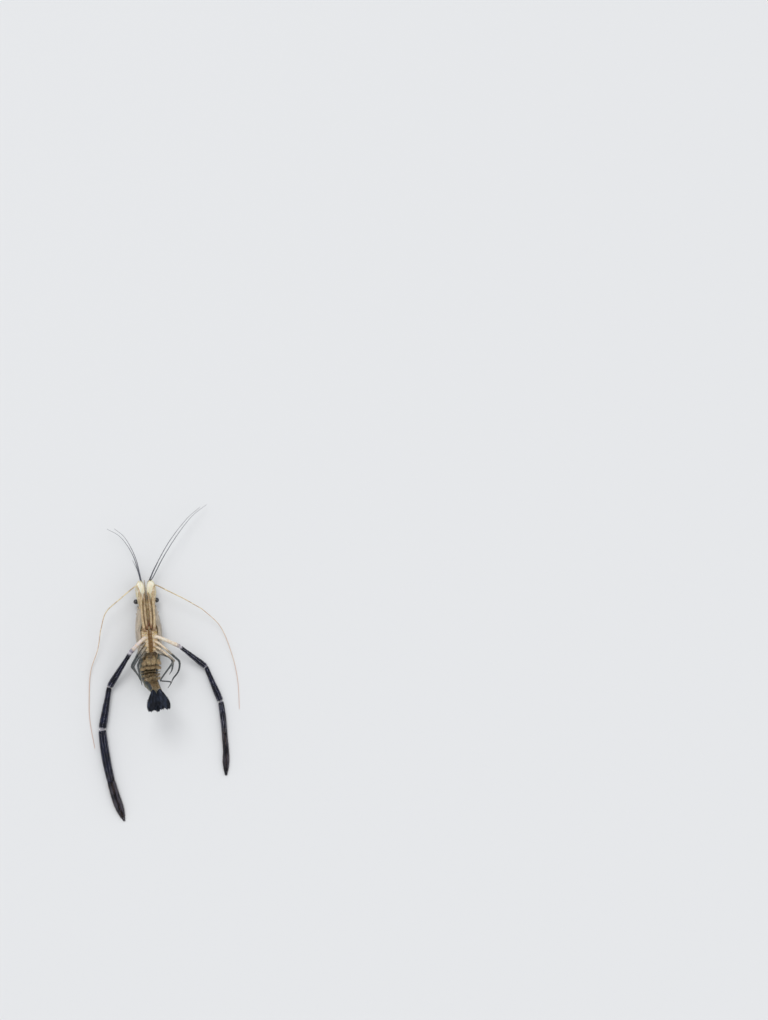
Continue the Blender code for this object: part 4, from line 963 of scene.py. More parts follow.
def make_abdomen(sizes, colours):
    """Six somites: each is the solids' ring of shell read finely along its pitch, with a raised rear
    margin that laps over the next, a waist behind its front, rounded side flaps and a ribbed belly."""
    places, facing, widths = abdomen_joints()
    finishes = [
        chitin(
            "somites, smooth chitin over muscle", colours.tail_shell, colours.flank_dark, colours.back,
            mottle=4.0, streak=(0.6, 1.0, 1.0), roughness=0.33, relief=0.05, dots=1.6, glow=0.16, coat=0.35,
        ),
        chitin(
            "side flaps, blue green chitin edge", colours.pleura, colours.leg, colours.back,
            mottle=3.0, roughness=0.4, relief=0.05, coat=0.08, shine=0.3,
        ),
        chitin(
            "belly of the tail, thin membrane over muscle", colours.tail_belly,
            scaled(colours.tail_belly, 0.62), colours.head,
            mottle=3.0, roughness=0.42, relief=0.08, glow=0.25,
        ),
        chitin(
            "rear margins, orange tinged chitin", colours.joint_orange, colours.tail_shell, colours.back,
            mottle=3.0, roughness=0.33, relief=0.04, coat=0.35,
        ),
    ]
    count = 110
    groove = count + EDGE_COLUMNS + WALL_COLUMNS
    beside = np.abs(np.linspace(-1.0, 1.0, count))
    dorsal = 1.1 * np.clip(1.0 - beside / 0.72, 0.0, 1.0) ** 0.7
    for number in range(6):
        share = np.linspace(0.0, 1.0 + 0.06 * (number < 5), 46)
        pitch = facing[number] + (facing[number + 1] - facing[number]) * share
        back, belly = tail_frame(pitch)
        start, end = places[number], places[number + 1]
        wide, deep = (widths[number][k] * (1 - share) + widths[number + 1][k] * share for k in (0, 1))
        swell = np.interp(share, *SOMITE_SWELL)
        drop = PLEURA_DROP * deep * (1.0 - PLEURA_ROUND * (2 * np.clip(share, 0, 1) - 1) ** 2)
        out, up = shell_grid(wide * swell, -deep * swell, 0 * deep, drop, BELLY_LEVEL * deep, count)
        share = share[:, None]
        centre = start + (end - start) * share + back * (GAP / 2 * (1 - 2 * share))
        points = centre[:, None] + out[..., None] * ACROSS + up[..., None] * belly[:, None]
        outer = first_columns(points, np.ones(count))
        floor = np.zeros(out.shape)
        floor[:, groove : groove + FLOOR_COLUMNS] = 1.0
        margin = bump(share - 1.0, 0.05)
        rim = 0.30 * margin - 0.28 * bump(share - 0.90, 0.035) - 0.2 * bump(share - 0.13, 0.05)
        ribs = 0.30 * np.cos(share * 3 * FULL_TURN) + 0.35 * bump(out, 1.2)
        soft = 0.12 * uneven(points, 7.0, 20 + number)
        points = raised(points, outer * (rim + soft) + floor * ribs)
        border = np.interp(number, (1, 3, 5), (0.86, 0.68, 0.6)) + 0.05 * np.cos(share * FULL_TURN)
        tint = np.maximum(dorsal, 1.1 * np.clip(1.0 - np.abs(beside - border) / 0.16, 0.0, 1.0))
        whole = closed(points, 0, first_columns(points, tint))
        parts = painted(whole, points, outer, first_columns(points, beside > border), margin * outer)
        put(f"somite_{number + 1}", parts, finishes, [f"abdomen_{number + 1}"])


def painted(surface, points, outer, flap, band):
    """A somite's surface split by finish: shell, side flap, belly and rear margin, sharing its points."""
    sides = points.shape[1]
    quads = surface.faces[0]
    low, high = quads.min(axis=1), quads.max(axis=1)
    row = low // sides
    column = np.where(high - low > sides + 1, sides - 1, low % sides)
    kind = np.where(outer[row, column] > 0.5, 0, 2)
    kind = np.where((kind == 0) & (flap[row, column] > 0.35), 1, kind)
    kind = np.where((kind == 0) & (band[row, column] > 0.35), 3, kind)
    parts = [surface._replace(faces=[quads[kind == 0]] + surface.faces[1:])]
    none = np.zeros((0, 3))
    for number in (1, 2, 3):
        parts.append(Surface(none, [quads[kind == number] - len(surface.points)], none, number, None))
    return parts


def make_fan(sizes, colours):
    """The tail fan: telson and four blades as ribbed leaves, with spines on the telson and a fringe."""
    places, facing, _ = abdomen_joints()
    back, belly = tail_frame(math.radians(FAN_PITCH))
    end_back, _ = tail_frame(facing[-1])
    root = places[-1] - end_back * FAN_ROOT_INSET
    blade_finish = chitin(
        "tail fan, dark ribbed chitin", colours.fan, colours.fan_light, colours.joint_pale,
        mottle=3.5, streak=(1.0, 0.3, 0.6), roughness=0.55, relief=0.05, grain=0.4, glow=0.0, coat=0.0,
        shine=0.12,
    )
    fringe_finish = chitin(
        "fan fringe, fine dark setae", colours.fan_light, colours.fan, colours.setae, shine=0.2, **HAIR
    )
    fringes = []
    draw = np.random.default_rng(41)
    length, half_width, height = TELSON
    start = root + belly * height
    tip = start + back * length
    telson = leaf(start, tip, ACROSS, half_width, 2.5, 0.7, 1.0, 3, 0.18, size=(70, 49))
    parts = [closed(telson, 0, 0.3 * bump(run_of(telson), 0.08))]
    for u, out in ((0.55, 0.6), (0.78, 0.55)):
        feet = [start + back * length * u + belly * 1.6 + ACROSS * out * half_width * s for s in (-1, 1)]
        parts.append(thorns(feet, back + 0.25 * belly, 1.4, 0.3, 8, 0, 0.4))
    feet = [tip - back * 0.8 + ACROSS * s * half_width * 0.35 for s in (-1, -0.4, 0.4, 1)]
    parts.append(thorns(feet, back, (1.6, 1.0, 1.0, 1.6), 0.28, 8, 0, 0.4))
    put("telson_blade", parts, [blade_finish], ["telson"])
    fringes.append(fringe(draw, start, tip, ACROSS, half_width, 1.0, "telson", 0, 5))
    box = 1
    for side_name, side in SIDES.items():
        for blade, (length, half_width, height) in BLADES.items():
            turn = math.radians(SPREADS[side_name][blade]) * side
            start = root + belly * height + ACROSS * side * (FAN_ROOT_OUT + FAN_ROOT_STEP * height)
            towards = back * math.cos(turn) + ACROSS * math.sin(turn)
            sideways = ACROSS * math.cos(turn) - back * math.sin(turn)
            end = start + towards * length
            sheet = leaf(start, end, sideways, half_width, 1.1, 0.5, 0.35, 9, 0.13, size=(70, 73))
            parts = [closed(sheet, 0, 0.2 * bump(run_of(sheet), 0.05))]
            rib = [
                (start + towards * length * share + belly * rise, thick)
                for share, rise, thick in ((0.0, 0.4, 1.3), (0.5, 0.75, 0.75), (0.93, 0.5, 0.3))
            ]
            parts.append(closed(domed(rings(tapered(rib, 20), 14, 0.6)), 0, 0.05))
            if blade == "exopod":
                foot = start + towards * length * 0.62 + sideways * side * half_width * 0.97
                parts.append(thorns(foot, towards + 0.25 * sideways * side, 1.8, 0.4, 10, 0, 0.4))
            node = f"uropod_{blade}_{side_name}"
            put(f"uropod_{blade}_blade_{side_name}", parts, [blade_finish], [node])
            fringes.append(fringe(draw, start, end, sideways, half_width, 0.35, "fan", box, 5))
            box += 1
    put("fan_fringe", fringes, [fringe_finish])


def fringe(draw, start, end, across, half_width, blunt, kind, box, boxes):
    """A fringe of setae along a leaf's edges, each varied a little in length and lean by the draw."""
    count, length, first = FRINGES[kind]
    feet, directions, shares = leaf_fringe(start, end, across, half_width * 0.985, blunt, count, first)
    directions = unit(directions + draw.normal(0.0, 0.08, directions.shape))
    lengths = length * draw.uniform(0.75, 1.1, count)
    patches = np.stack([(box + 0.02 + 0.96 * shares[:, 1]) / boxes, shares[:, 0]], axis=1)
    return setae(feet, directions, lengths, 0.085, patches)


def make_pleopods(sizes, colours):
    """The swimming legs: a flattened stalk with two ribbed leaves, and a fringe round every leaf."""
    places, facing, _ = abdomen_joints()
    finish = chitin(
        "swimming legs, thin brownish chitin", colours.pleopod, colours.pleopod_light, colours.tail_belly,
        mottle=2.5, streak=(1.0, 0.5, 0.5), roughness=0.42, relief=0.05, glow=0.3, coat=0.2,
    )
    hair = chitin(
        "swimming setae, fine golden", colours.pleopod, colours.pleopod_light, colours.leg_base, **HAIR
    )
    draw = np.random.default_rng(43)
    fringes, box = [], 0
    for number, (out, length, half_width) in enumerate(PLEOPODS):
        pitch = 0.5 * (facing[number] + facing[number + 1])
        back, belly = tail_frame(pitch)
        middle = 0.5 * (places[number] + places[number + 1])
        level = BELLY_LEVEL * SOMITES[number][3] - 1.0
        lie = unit(belly * PLEOPOD_LIE[0] + back * PLEOPOD_LIE[1])
        over = np.cross(ACROSS, lie)
        for side_name, side in SIDES.items():
            root = middle + belly * level + ACROSS * side * out
            knee = root + lie * PLEOPOD_STALK
            rows = tapered([(root, 2.0), (0.5 * (root + knee), 1.75), (knee, 1.8)], 12)
            stalk = rings(rows, 28, 0.62)
            stalk = domed(raised(stalk, 0.1 * uneven(stalk, 2.5, 60 + box)), 0.5)
            parts = [closed(stalk, 0, 0.5 * bump(run_of(stalk), 0.2))]
            for lean, layer in PLEOPOD_LEAVES:
                towards = unit(lie + ACROSS * side * lean)
                start = knee - lie * 1.7 + ACROSS * side * lean * 3.1 + over * layer
                end = start + towards * length
                wide = half_width * PLEOPOD_LEAF_SHARE
                sheet = leaf(start, end, ACROSS, wide, 0.7, 0.3, 0.6, 5, 0.08, size=(40, 33))
                parts.append(closed(sheet))
                fringes.append(fringe(draw, start, end, ACROSS, wide, 0.6, "swimming leg", box, 20))
                box += 1
            node = f"pleopod{number + 1}_{side_name}"
            put(f"swimming_leg_{number + 1}_{side_name}", parts, [finish], [node])
    put("swimming_leg_fringe", fringes, [hair])


def make_eyes(sizes, colours):
    """The stalked eyes: a waisted stalk as a profile along its axis, a rim, and a round cornea."""
    stalk_finish = chitin(
        "eyestalks, soft mottled chitin", colours.flank, colours.back, colours.joint_pale,
        mottle=1.6, roughness=0.36, relief=0.04, dots=0.9, glow=0.15,
    )
    cornea = cornea_finish(colours)
    for side_name, side in SIDES.items():
        root, centre = mirrored([EYESTALK_ROOT, EYE], side)
        reach = unit(centre - root)
        length = np.linalg.norm(centre - root)
        rows = [(root + reach * run, radius) for run, radius in EYESTALK_ROWS]
        rows += [(root + reach * (length - 2.6), 2.9), (root + reach * (length - 1.2), 3.35)]
        stalk = rings(tapered(rows, 16), 40)
        stalk = closed(domed(raised(stalk, 0.06 * uneven(stalk, 2.0, 70)), 0.3), 0, 0.35)
        put(f"eyestalk_neck_{side_name}", [stalk], [stalk_finish], [f"eyestalk_{side_name}"])
        wide = unit(np.cross(reach, UP))
        turn = np.stack([wide, np.cross(reach, wide), reach], axis=1)
        eye = blob(centre, (sizes.eye_radius,) * 3, 0.0, 1, 64, 40, turn=turn)
        put(f"eye_cornea_{side_name}", [eye], [cornea], [f"eye_{side_name}"])


def cornea_finish(colours):
    """Wet black cornea: very smooth, with the fine net of facets as a faint bump."""
    made, tree, shader = new_material("cornea, glossy faceted chitin")
    seat = add_node(tree, "ShaderNodeTexCoord").outputs["Object"]
    roughened(tree, cells(tree, seat, FACET), 0.25, 0.02)
    shade = mixed(tree, clouds(tree, seat, 2.5, 2.0), colours.eye, scaled(colours.eye, 3.0))
    tree.links.new(shade, shader.inputs["Base Color"])
    set_inputs(shader, Roughness=0.08, IOR=1.5, Coat_Weight=0.8)
    return made


def whip(points, radii, finish=1, fade=(0.0, 1.0)):
    """A feeler's lash: a tapering tube whose radius swells at every other ring, as its joints do."""
    route = evenly(through(points, 20), LASH_STEP)
    share = run_of(route)
    radius = radii[0] + (radii[1] - radii[0]) * share
    radius = radius * (1.0 + LASH_RINGED * np.where(np.arange(len(route)) % 2, 1.0, -1.0))
    tint = fade[0] + (fade[1] - fade[0]) * share
    return closed(rings(np.column_stack([route, radius]), 8), finish, tint)


def segmented(rows, joints, step=0.5, sides=24, flatness=1.0):
    """A jointed limb: a tube through its rows with a pinch and a swelling at every joint, given as the
    numbers of the rows where it bends. The tint is full at the joints and fades from them."""
    dense = through(np.asarray(rows, dtype=float), 24)
    marks = travelled(dense[:, :3])[[24 * joint for joint in joints]]
    route = evenly(dense, step)
    near = travelled(route[:, :3]) - marks[:, None]
    scale = route[:, 3]
    groove = bump(near, KNEE_REACH * 0.35).sum(axis=0)
    knob = bump(np.abs(near) - KNEE_REACH, KNEE_REACH * 0.6).sum(axis=0)
    route[:, 3] = scale * (1.0 - KNEE_PINCH * groove + 0.10 * knob)
    grid = rings(route, sides, flatness)
    grid = raised(grid, 0.05 * scale[:, None] * uneven(grid, 3.0 * scale.mean(), 80))
    tint = np.clip(bump(near, KNEE_REACH * 1.5).sum(axis=0), 0.0, 1.0)
    return domed(grid, 0.6), np.pad(tint, DOME_STEPS, mode="edge"), route


def make_antennules(sizes, colours):
    """The first feelers: a stalk of three joints with a pointed side scale, and three ringed lashes."""
    base = chitin(
        "antennule stalks, tan and slate chitin", colours.head, colours.feeler_light, colours.head_light,
        mottle=2.5, roughness=0.4, relief=0.05, dots=1.2, coat=0.25,
    )
    lash = chitin(
        "antennule lashes, ringed slate chitin", colours.feeler, colours.feeler_light, colours.feeler_fade,
        mottle=3.0, roughness=0.45, relief=0.03, rings_every=0.9, coat=0.1,
    )
    for side_name, side in SIDES.items():
        grid, tint, _ = segmented(mirrored(ANTENNULE_BASE, side), [1, 2], flatness=0.74, sides=28)
        parts = [closed(grid, 0, tint * 0.6)]
        start, end = mirrored(ANTENNULE_SCALE, side)
        parts.append(closed(leaf(start, end, ACROSS, 1.4, 0.7, 0.2, 0.8, size=(30, 21)), 0, 0.3))
        parts += [whip(mirrored(points, side), (0.72, 0.28)) for points in ANTENNULES[side_name]]
        put(f"antennule_stalk_{side_name}", parts, [base, lash], [f"antennule_{side_name}"])


def make_antennae(sizes, colours):
    """The second feelers: a stout jointed stalk, then a long ringed lash in two lengths."""
    base = chitin(
        "antenna stalks, tan chitin", colours.head, colours.head_light, colours.leg_base,
        mottle=2.5, roughness=0.4, relief=0.05, dots=1.2, coat=0.25, glow=0.15,
    )
    lash = chitin(
        "antenna lashes, ringed pinkish chitin", colours.antenna, colours.head, colours.antenna_fade,
        mottle=5.0, roughness=0.45, relief=0.03, rings_every=0.9, coat=0.1,
    )
    for side_name, side in SIDES.items():
        first, second = (mirrored(points, side) for points in ANTENNAE[side_name])
        rows = mirrored(ANTENNA_BASE, side)
        grid, tint, _ = segmented(rows, [1, 2], sides=30)
        joined = np.vstack([rows[-1, :3] - (0.0, 1.5, 0.0), first])
        parts = [closed(grid, 0, tint * 0.8), whip(joined, (0.9, 0.6), fade=(0.0, 0.4))]
        put(f"antenna_stalk_{side_name}", parts, [base, lash], [f"antenna_{side_name}"])
        strand = whip(np.vstack([first[-1], second]), (0.6, 0.3), 0, (0.4, 1.0))
        put(f"antenna_lash_{side_name}", [strand], [lash], [f"antenna_tip_{side_name}"])


def make_scales(sizes, colours):
    """The antennal scales: broad thin leaves with fine ribs, a stiff outer edge that ends in a spine, and
    a fringe along the inner edge and the end."""
    finish = chitin(
        "antennal scales, thin cream chitin", colours.scale, colours.scale_light, colours.scale_edge,
        mottle=4.0, streak=(1.0, 0.25, 1.0), roughness=0.34, relief=0.04, glow=0.3, coat=0.35,
    )
    hair = chitin("scale fringe, pale setae", colours.setae_pale, colours.scale, colours.setae, **HAIR)
    draw = np.random.default_rng(47)
    fringes = []
    for box, (side_name, side) in enumerate(SIDES.items()):
        root, end = mirrored([SCALE_ROOT, SCALE_TIP], side)
        across = np.array([1.0, 0.0, SCALE_ROLL * side])
        sheet = leaf(root, end, across, SCALE_HALF_WIDTH, 1.0, 0.4, SCALE_BLUNT, 11, 0.07, size=(90, 89))
        u = 0.5 - 0.5 * np.cos(np.linspace(0.0, math.pi, 90))
        parts = [closed(sheet, 0, np.clip(0.9 * bump(u, 0.22) + 0.5 * bump(u - 1.0, 0.05), 0, 1))]
        outwards = unit(across)
        lift = unit(np.cross(outwards, unit(end - root)))
        edge = []
        for share in SCALE_EDGE_SHARES:
            out = SCALE_HALF_WIDTH * float(leaf_width(np.array([share]), SCALE_BLUNT)[0]) - 0.35
            edge.append((root + (end - root) * share + outwards * side * out, 0.75 - 0.35 * share))
        parts.append(closed(domed(rings(tapered(edge, 14), 16, 0.9)), 0, 0.6))
        parts.append(thorns(edge[-1][0], unit(end - root) + 0.1 * across * side, 3.0, 0.5, 10, 0, 0.6))
        middle = [
            (root + (end - root) * share + lift * 0.55 * (1 - share), 0.7 - 0.5 * share)
            for share in (0.0, 0.4, 0.85)
        ]
        parts.append(closed(rings(tapered(middle, 20), 14, 0.7), 0, 0.3))
        node = f"antennal_scale_{side_name}"
        put(f"antennal_scale_plate_{side_name}", parts, [finish], [node])
        fringes.append(fringe(draw, root, end, across, SCALE_HALF_WIDTH, SCALE_BLUNT, "scale", box, 2))
    put("scale_fringe", fringes, [hair])


def bristles(draw, route, count, length, box, boxes, first, last=1.0, lean=0.5, thickness=0.06):
    """Setae scattered round a limb's path, each from its surface, leaning towards the tip."""
    share = draw.uniform(first, last, count)
    spot = share * (len(route) - 1)
    base = read_at(spot, route)
    along = unit(read_at(spot, unit(np.gradient(route[:, :3], axis=0))))
    across = unit(np.cross(along, UP))
    lift = np.cross(across, along)
    angle = draw.uniform(0.0, FULL_TURN, count)
    out = across * np.cos(angle)[:, None] + lift * np.sin(angle)[:, None]
    feet = base[:, :3] + out * base[:, 3:4] * 0.97
    directions = unit(out + along * lean + draw.normal(0.0, 0.15, (count, 3)))
    feet[:, 2] = np.maximum(feet[:, 2], 0.1)
    upwards = np.abs(directions[:, 2]) + 0.05
    directions[:, 2] = np.where(feet[:, 2] < length + 0.2, upwards, directions[:, 2])
    patches = np.stack([(box + 0.02 + 0.96 * (angle / FULL_TURN) % 1.0) / boxes, share], axis=1)
    return setae(feet, directions, length * draw.uniform(0.6, 1.15, count), thickness, patches)


def make_mouth_legs(sizes, colours):
    """The third maxillipeds: slender jointed legs over the mouth, thickly set with setae."""
    finish = chitin(
        "mouth legs, tan chitin", colours.head, colours.head_light, colours.line,
        mottle=3.0, streak=(1.0, 0.3, 1.0), roughness=0.42, relief=0.05, glow=0.2,
    )
    hair = chitin("mouth setae, brown", colours.setae, colours.mouth, colours.head, **HAIR)
    draw = np.random.default_rng(53)
    coat = []
    for box, (side_name, side) in enumerate(SIDES.items()):
        grid, tint, route = segmented(mirrored(MAXILLIPED, side), [1, 3, 4], flatness=0.8, sides=28)
        leg = closed(grid, 0, bump(run_of(grid), 0.2) + 0.35 * tint)
        put(f"maxilliped_leg_{side_name}", [leg], [finish], [f"maxilliped_{side_name}"])
        coat.append(bristles(draw, route, int(MOUTH_SETAE * sizes.hairiness), 1.5, box, 2, first=0.2))
    put("mouth_setae", coat, [hair])


def make_first_legs(sizes, colours):
    """The first legs: slender, jointed, with a small pincer of two fingers."""
    finish = chitin(
        "first legs, tan chitin", colours.head, colours.head_light, colours.line,
        mottle=3.0, roughness=0.4, relief=0.04, glow=0.2,
    )
    for side_name, side in SIDES.items():
        grid, tint, _ = segmented(mirrored(PEREIOPOD1, side), [1, 2, 3], sides=26, step=0.4)
        parts = [closed(grid, 0, 0.9 * bump(run_of(grid), 0.16) + 0.25 * tint)]
        finger = evenly(through(mirrored(PINCER, side), 12), 0.4)
        parts.append(closed(domed(rings(finger, 16)), 0, 0.2))
        put(f"first_leg_{side_name}", parts, [finish], [f"pereiopod1_{side_name}"])


def make_walking_legs(sizes, colours):
    """The six walking legs: jointed tubes, pale at the base and slate beyond the first knee, each ending in
    a hooked claw, with sparse setae and small spines along them."""
    finish = chitin(
        "walking legs, slate chitin", colours.leg, colours.leg_light, colours.leg_base,
        mottle=4.0, roughness=0.36, relief=0.04, dots=1.6, glow=0.1, coat=0.3,
    )
    horn = chitin(
        "leg tips, brown horn", colours.line, colours.mouth, colours.leg_base,
        mottle=1.5, roughness=0.3, relief=0.02,
    )
    hair = chitin("leg setae, grey brown", colours.setae, colours.leg, colours.leg_base, **HAIR)
    draw = np.random.default_rng(59)
    coat = []
    for box, (name, rows) in enumerate(LEGS.items()):
        side = SIDES[name.split("_")[1]]
        grid, tint, route = segmented(mirrored(rows, side), range(1, len(rows) - 1), step=0.4)
        pale = np.clip((1.25 - run_of(grid) / 0.38) / 0.6, 0.0, 1.0)
        pale = pale * (1.0 if side > 0 else 0.42) * PALE_BASE.get(name, 1.0)
        parts = [closed(grid, 0, np.maximum(pale, 0.12 * tint))]
        place = (np.linspace(0.42, 0.85, 12) * (len(route) - 1)).astype(int)
        under = route[place, :3] - 0.9 * UP * route[place, 3:4]
        along = unit(np.gradient(route[:, :3], axis=0))[place]
        parts.append(thorns(under, along - 0.6 * UP, 0.7, 0.14, 6, 1, 0.2))
        put(f"walking_leg_{name}", parts, [finish, horn], [name])
        count = int(LEG_SETAE * sizes.hairiness)
        coat.append(bristles(draw, route, count, 0.8, box, 6, first=0.3, lean=0.9))
    put("leg_setae", coat, [hair])


def claw_joints(side_name):
    """The joints of one claw, the directions of its segments and of the faces between them, and its
    half widths."""
    claw = CLAWS[side_name]
    points = mirrored(claw[:9], SIDES[side_name])
    joints = points[1:7]
    towards = unit(np.diff(joints, axis=0))
    return points, towards, unit(towards[:-1] + towards[1:]), claw.sizes


def limb(start, end, first, last, widths, flatness=1.0, middle=None, count=90):
    """A claw segment: half widths read smoothly along its middle line, which may bow to a middle point."""
    first, last = unit(first), unit(last)
    direction = unit(end - start)
    a = start + direction * (GAP / 2) / np.dot(direction, first)
    b = end - direction * (GAP / 2) / np.dot(direction, last)
    share = np.linspace(0.0, 1.0, count)[:, None]
    sag = 0.0 if middle is None else middle - 0.5 * (a + b)
    path = a + (b - a) * share + sag * 4 * share * (1 - share)
    knots = through(np.column_stack([np.linspace(0, 1, len(widths)), widths]), 12)
    half = np.interp(share[:, 0], knots[:, 0], knots[:, 1])
    return rings(np.column_stack([path, half]), CLAW_SIDES, flatness, first, last)


def spiny(draw, grid, rows_at, per_row, scattered, length, radius, finish=0, first=0.05, last=0.97):
    """Spines on a claw segment: even rows along it at shares round it, and finer ones scattered between.

    Each leans out of the surface and towards the tip, and none on the underside reaches the floor."""
    count, sides, _ = grid.shape
    row_share = (np.arange(per_row) + draw.uniform(0.3, 0.7, (len(rows_at), per_row))) / per_row
    along = (first + (last - first) * row_share).ravel()
    along = np.concatenate([along, draw.uniform(first, last, scattered)])
    in_rows = np.repeat(rows_at, per_row) + draw.normal(0, 0.006, len(rows_at) * per_row)
    around = np.concatenate([in_rows, draw.uniform(0.0, 1.0, scattered)]) % 1.0
    big = np.arange(len(along)) < len(rows_at) * per_row
    r = np.clip((along * (count - 1)).round().astype(int), 0, count - 1)
    c = (around * sides).round().astype(int) % sides
    feet = grid[r, c]
    middle = grid.mean(axis=1)[r]
    ahead = unit(np.gradient(grid.mean(axis=1), axis=0))[r]
    out = unit(feet - middle)
    sizes = np.where(big, 1.0, 0.42) * draw.uniform(0.7, 1.15, len(along))
    keep = feet[:, 2] > 0.45
    directions = unit(0.75 * out + 0.65 * ahead)
    directions[:, 2] = np.where(feet[:, 2] < 2.0, np.maximum(directions[:, 2], 0.0), directions[:, 2])
    # Spine tips are tinted pale as painted glints, the fine spines less so
    painted_glints = SPINE_GLINT * np.where(big, 1.0, 0.35)
    lengths, radii = length * sizes, radius * sizes**0.7
    return thorns(feet[keep], directions[keep], lengths[keep], radii[keep], 6, finish, painted_glints[keep])


def finger_grid(palm, knuckle, bend, tip, wide, shares, side):
    """One finger, on the outer or inner side of the claw's middle line, hooked at its tip."""
    start = knuckle + unit(knuckle - palm) * GAP / 2
    places = (start, bend, 0.5 * (bend + tip), tip)
    rows = evenly(tapered(zip(places, shares), 24), 0.6)
    normals = unit(np.gradient(rows[:, :3], axis=0))
    normals[0] = unit(knuckle - palm)
    across = unit(np.cross(normals, UP))
    lift = np.cross(across, normals)
    half = 0.5 * wide * rows[:, 3] - GAP / 4
    sense = np.sign(across[:, 0] * side)
    centre = rows[:, :3] + across * (sense * (half + GAP / 2 + 0.02))[:, None]
    turn = turns(CLAW_SIDES)
    wide_part = (half[:, None] * np.cos(turn))[..., None] * across[:, None]
    deep_part = (0.74 * wide * rows[:, 3:4] * np.sin(turn))[..., None] * lift[:, None]
    return centre[:, None] + wide_part + deep_part


def claw_finishes(colours):
    """The finishes of the claws: segments, joint skin, fingers, horn and velvet."""
    return (
        chitin(
            # The third colour paints glints on the spine tips and gives the segment ends their pale joint
            # colour
            "claw, thick calcified chitin, blue black", colours.claw, colours.claw_light,
            colours.claw_glint_and_joint, mottle=5.0, streak=(1.0, 0.6, 1.0), roughness=0.42, relief=0.06, grain=0.7,
            glow=0.0, coat=0.03, dots=1.3, shine=0.12,
        ),
        chitin(
            "joint membranes, folded lilac skin", colours.joint_lilac, colours.claw_light,
            colours.joint_pale, mottle=1.6, roughness=0.5, relief=0.1, glow=0.15, coat=0.1,
        ),
        chitin(
            "fingers, charcoal purple chitin", colours.finger, colours.claw, colours.joint_lilac,
            mottle=5.0, streak=(1.0, 0.4, 1.0), roughness=0.5, relief=0.06, grain=0.6, glow=0.0, coat=0.03,
            shine=0.2,
        ),
        chitin(
            "cutting teeth and finger tips, amber horn", colours.horn, colours.line, colours.claw,
            mottle=1.5, roughness=0.28, relief=0.02, coat=0.4,
        ),
        chitin(
            "velvet of the fingers, short brown setae", colours.finger, colours.setae, colours.claw,
            **{**HAIR, "roughness": 0.6},
        ),
    )


def claw_root(draw, colours, side_name, points, face, half_widths):
    """The ischium of a claw, pale, with a groove across it a third of the way along."""
    root, shoulder, ischium = points[:3]
    right = side_name == "right"
    skin = chitin(
        f"claw root, {'lilac' if right else 'cream'} chitin",
        colours.root_lilac if right else colours.root_cream, colours.leg_base, colours.joint_lilac,
        mottle=3.5, roughness=0.4, relief=0.05, glow=0.2,
    )
    first, last = half_widths[:2]
    rows = [(root, first), (shoulder, first * 0.95), (ischium - face * GAP / 2, last)]
    grid = rings(evenly(tapered(rows, 24), 0.45), 44, 1.0, None, face)
    run = run_of(grid)
    groove = (0.25 * bump(run - 0.38, 0.03) - 0.35 * bump(run - 0.33, 0.02))[:, None] * first * 0.4
    grid = raised(grid, groove + 0.08 * uneven(grid, 4.0, 90))
    parts = [closed(grid, 0, (1.2 if right else 0.7) * bump(run - 1.0, 0.14))]
    parts.append(spiny(draw, grid, [0.0, 0.5], 5, 60, 0.8, 0.28))
    put(f"claw_{side_name}_root", parts, [skin], [f"claw_{side_name}_ischium"])


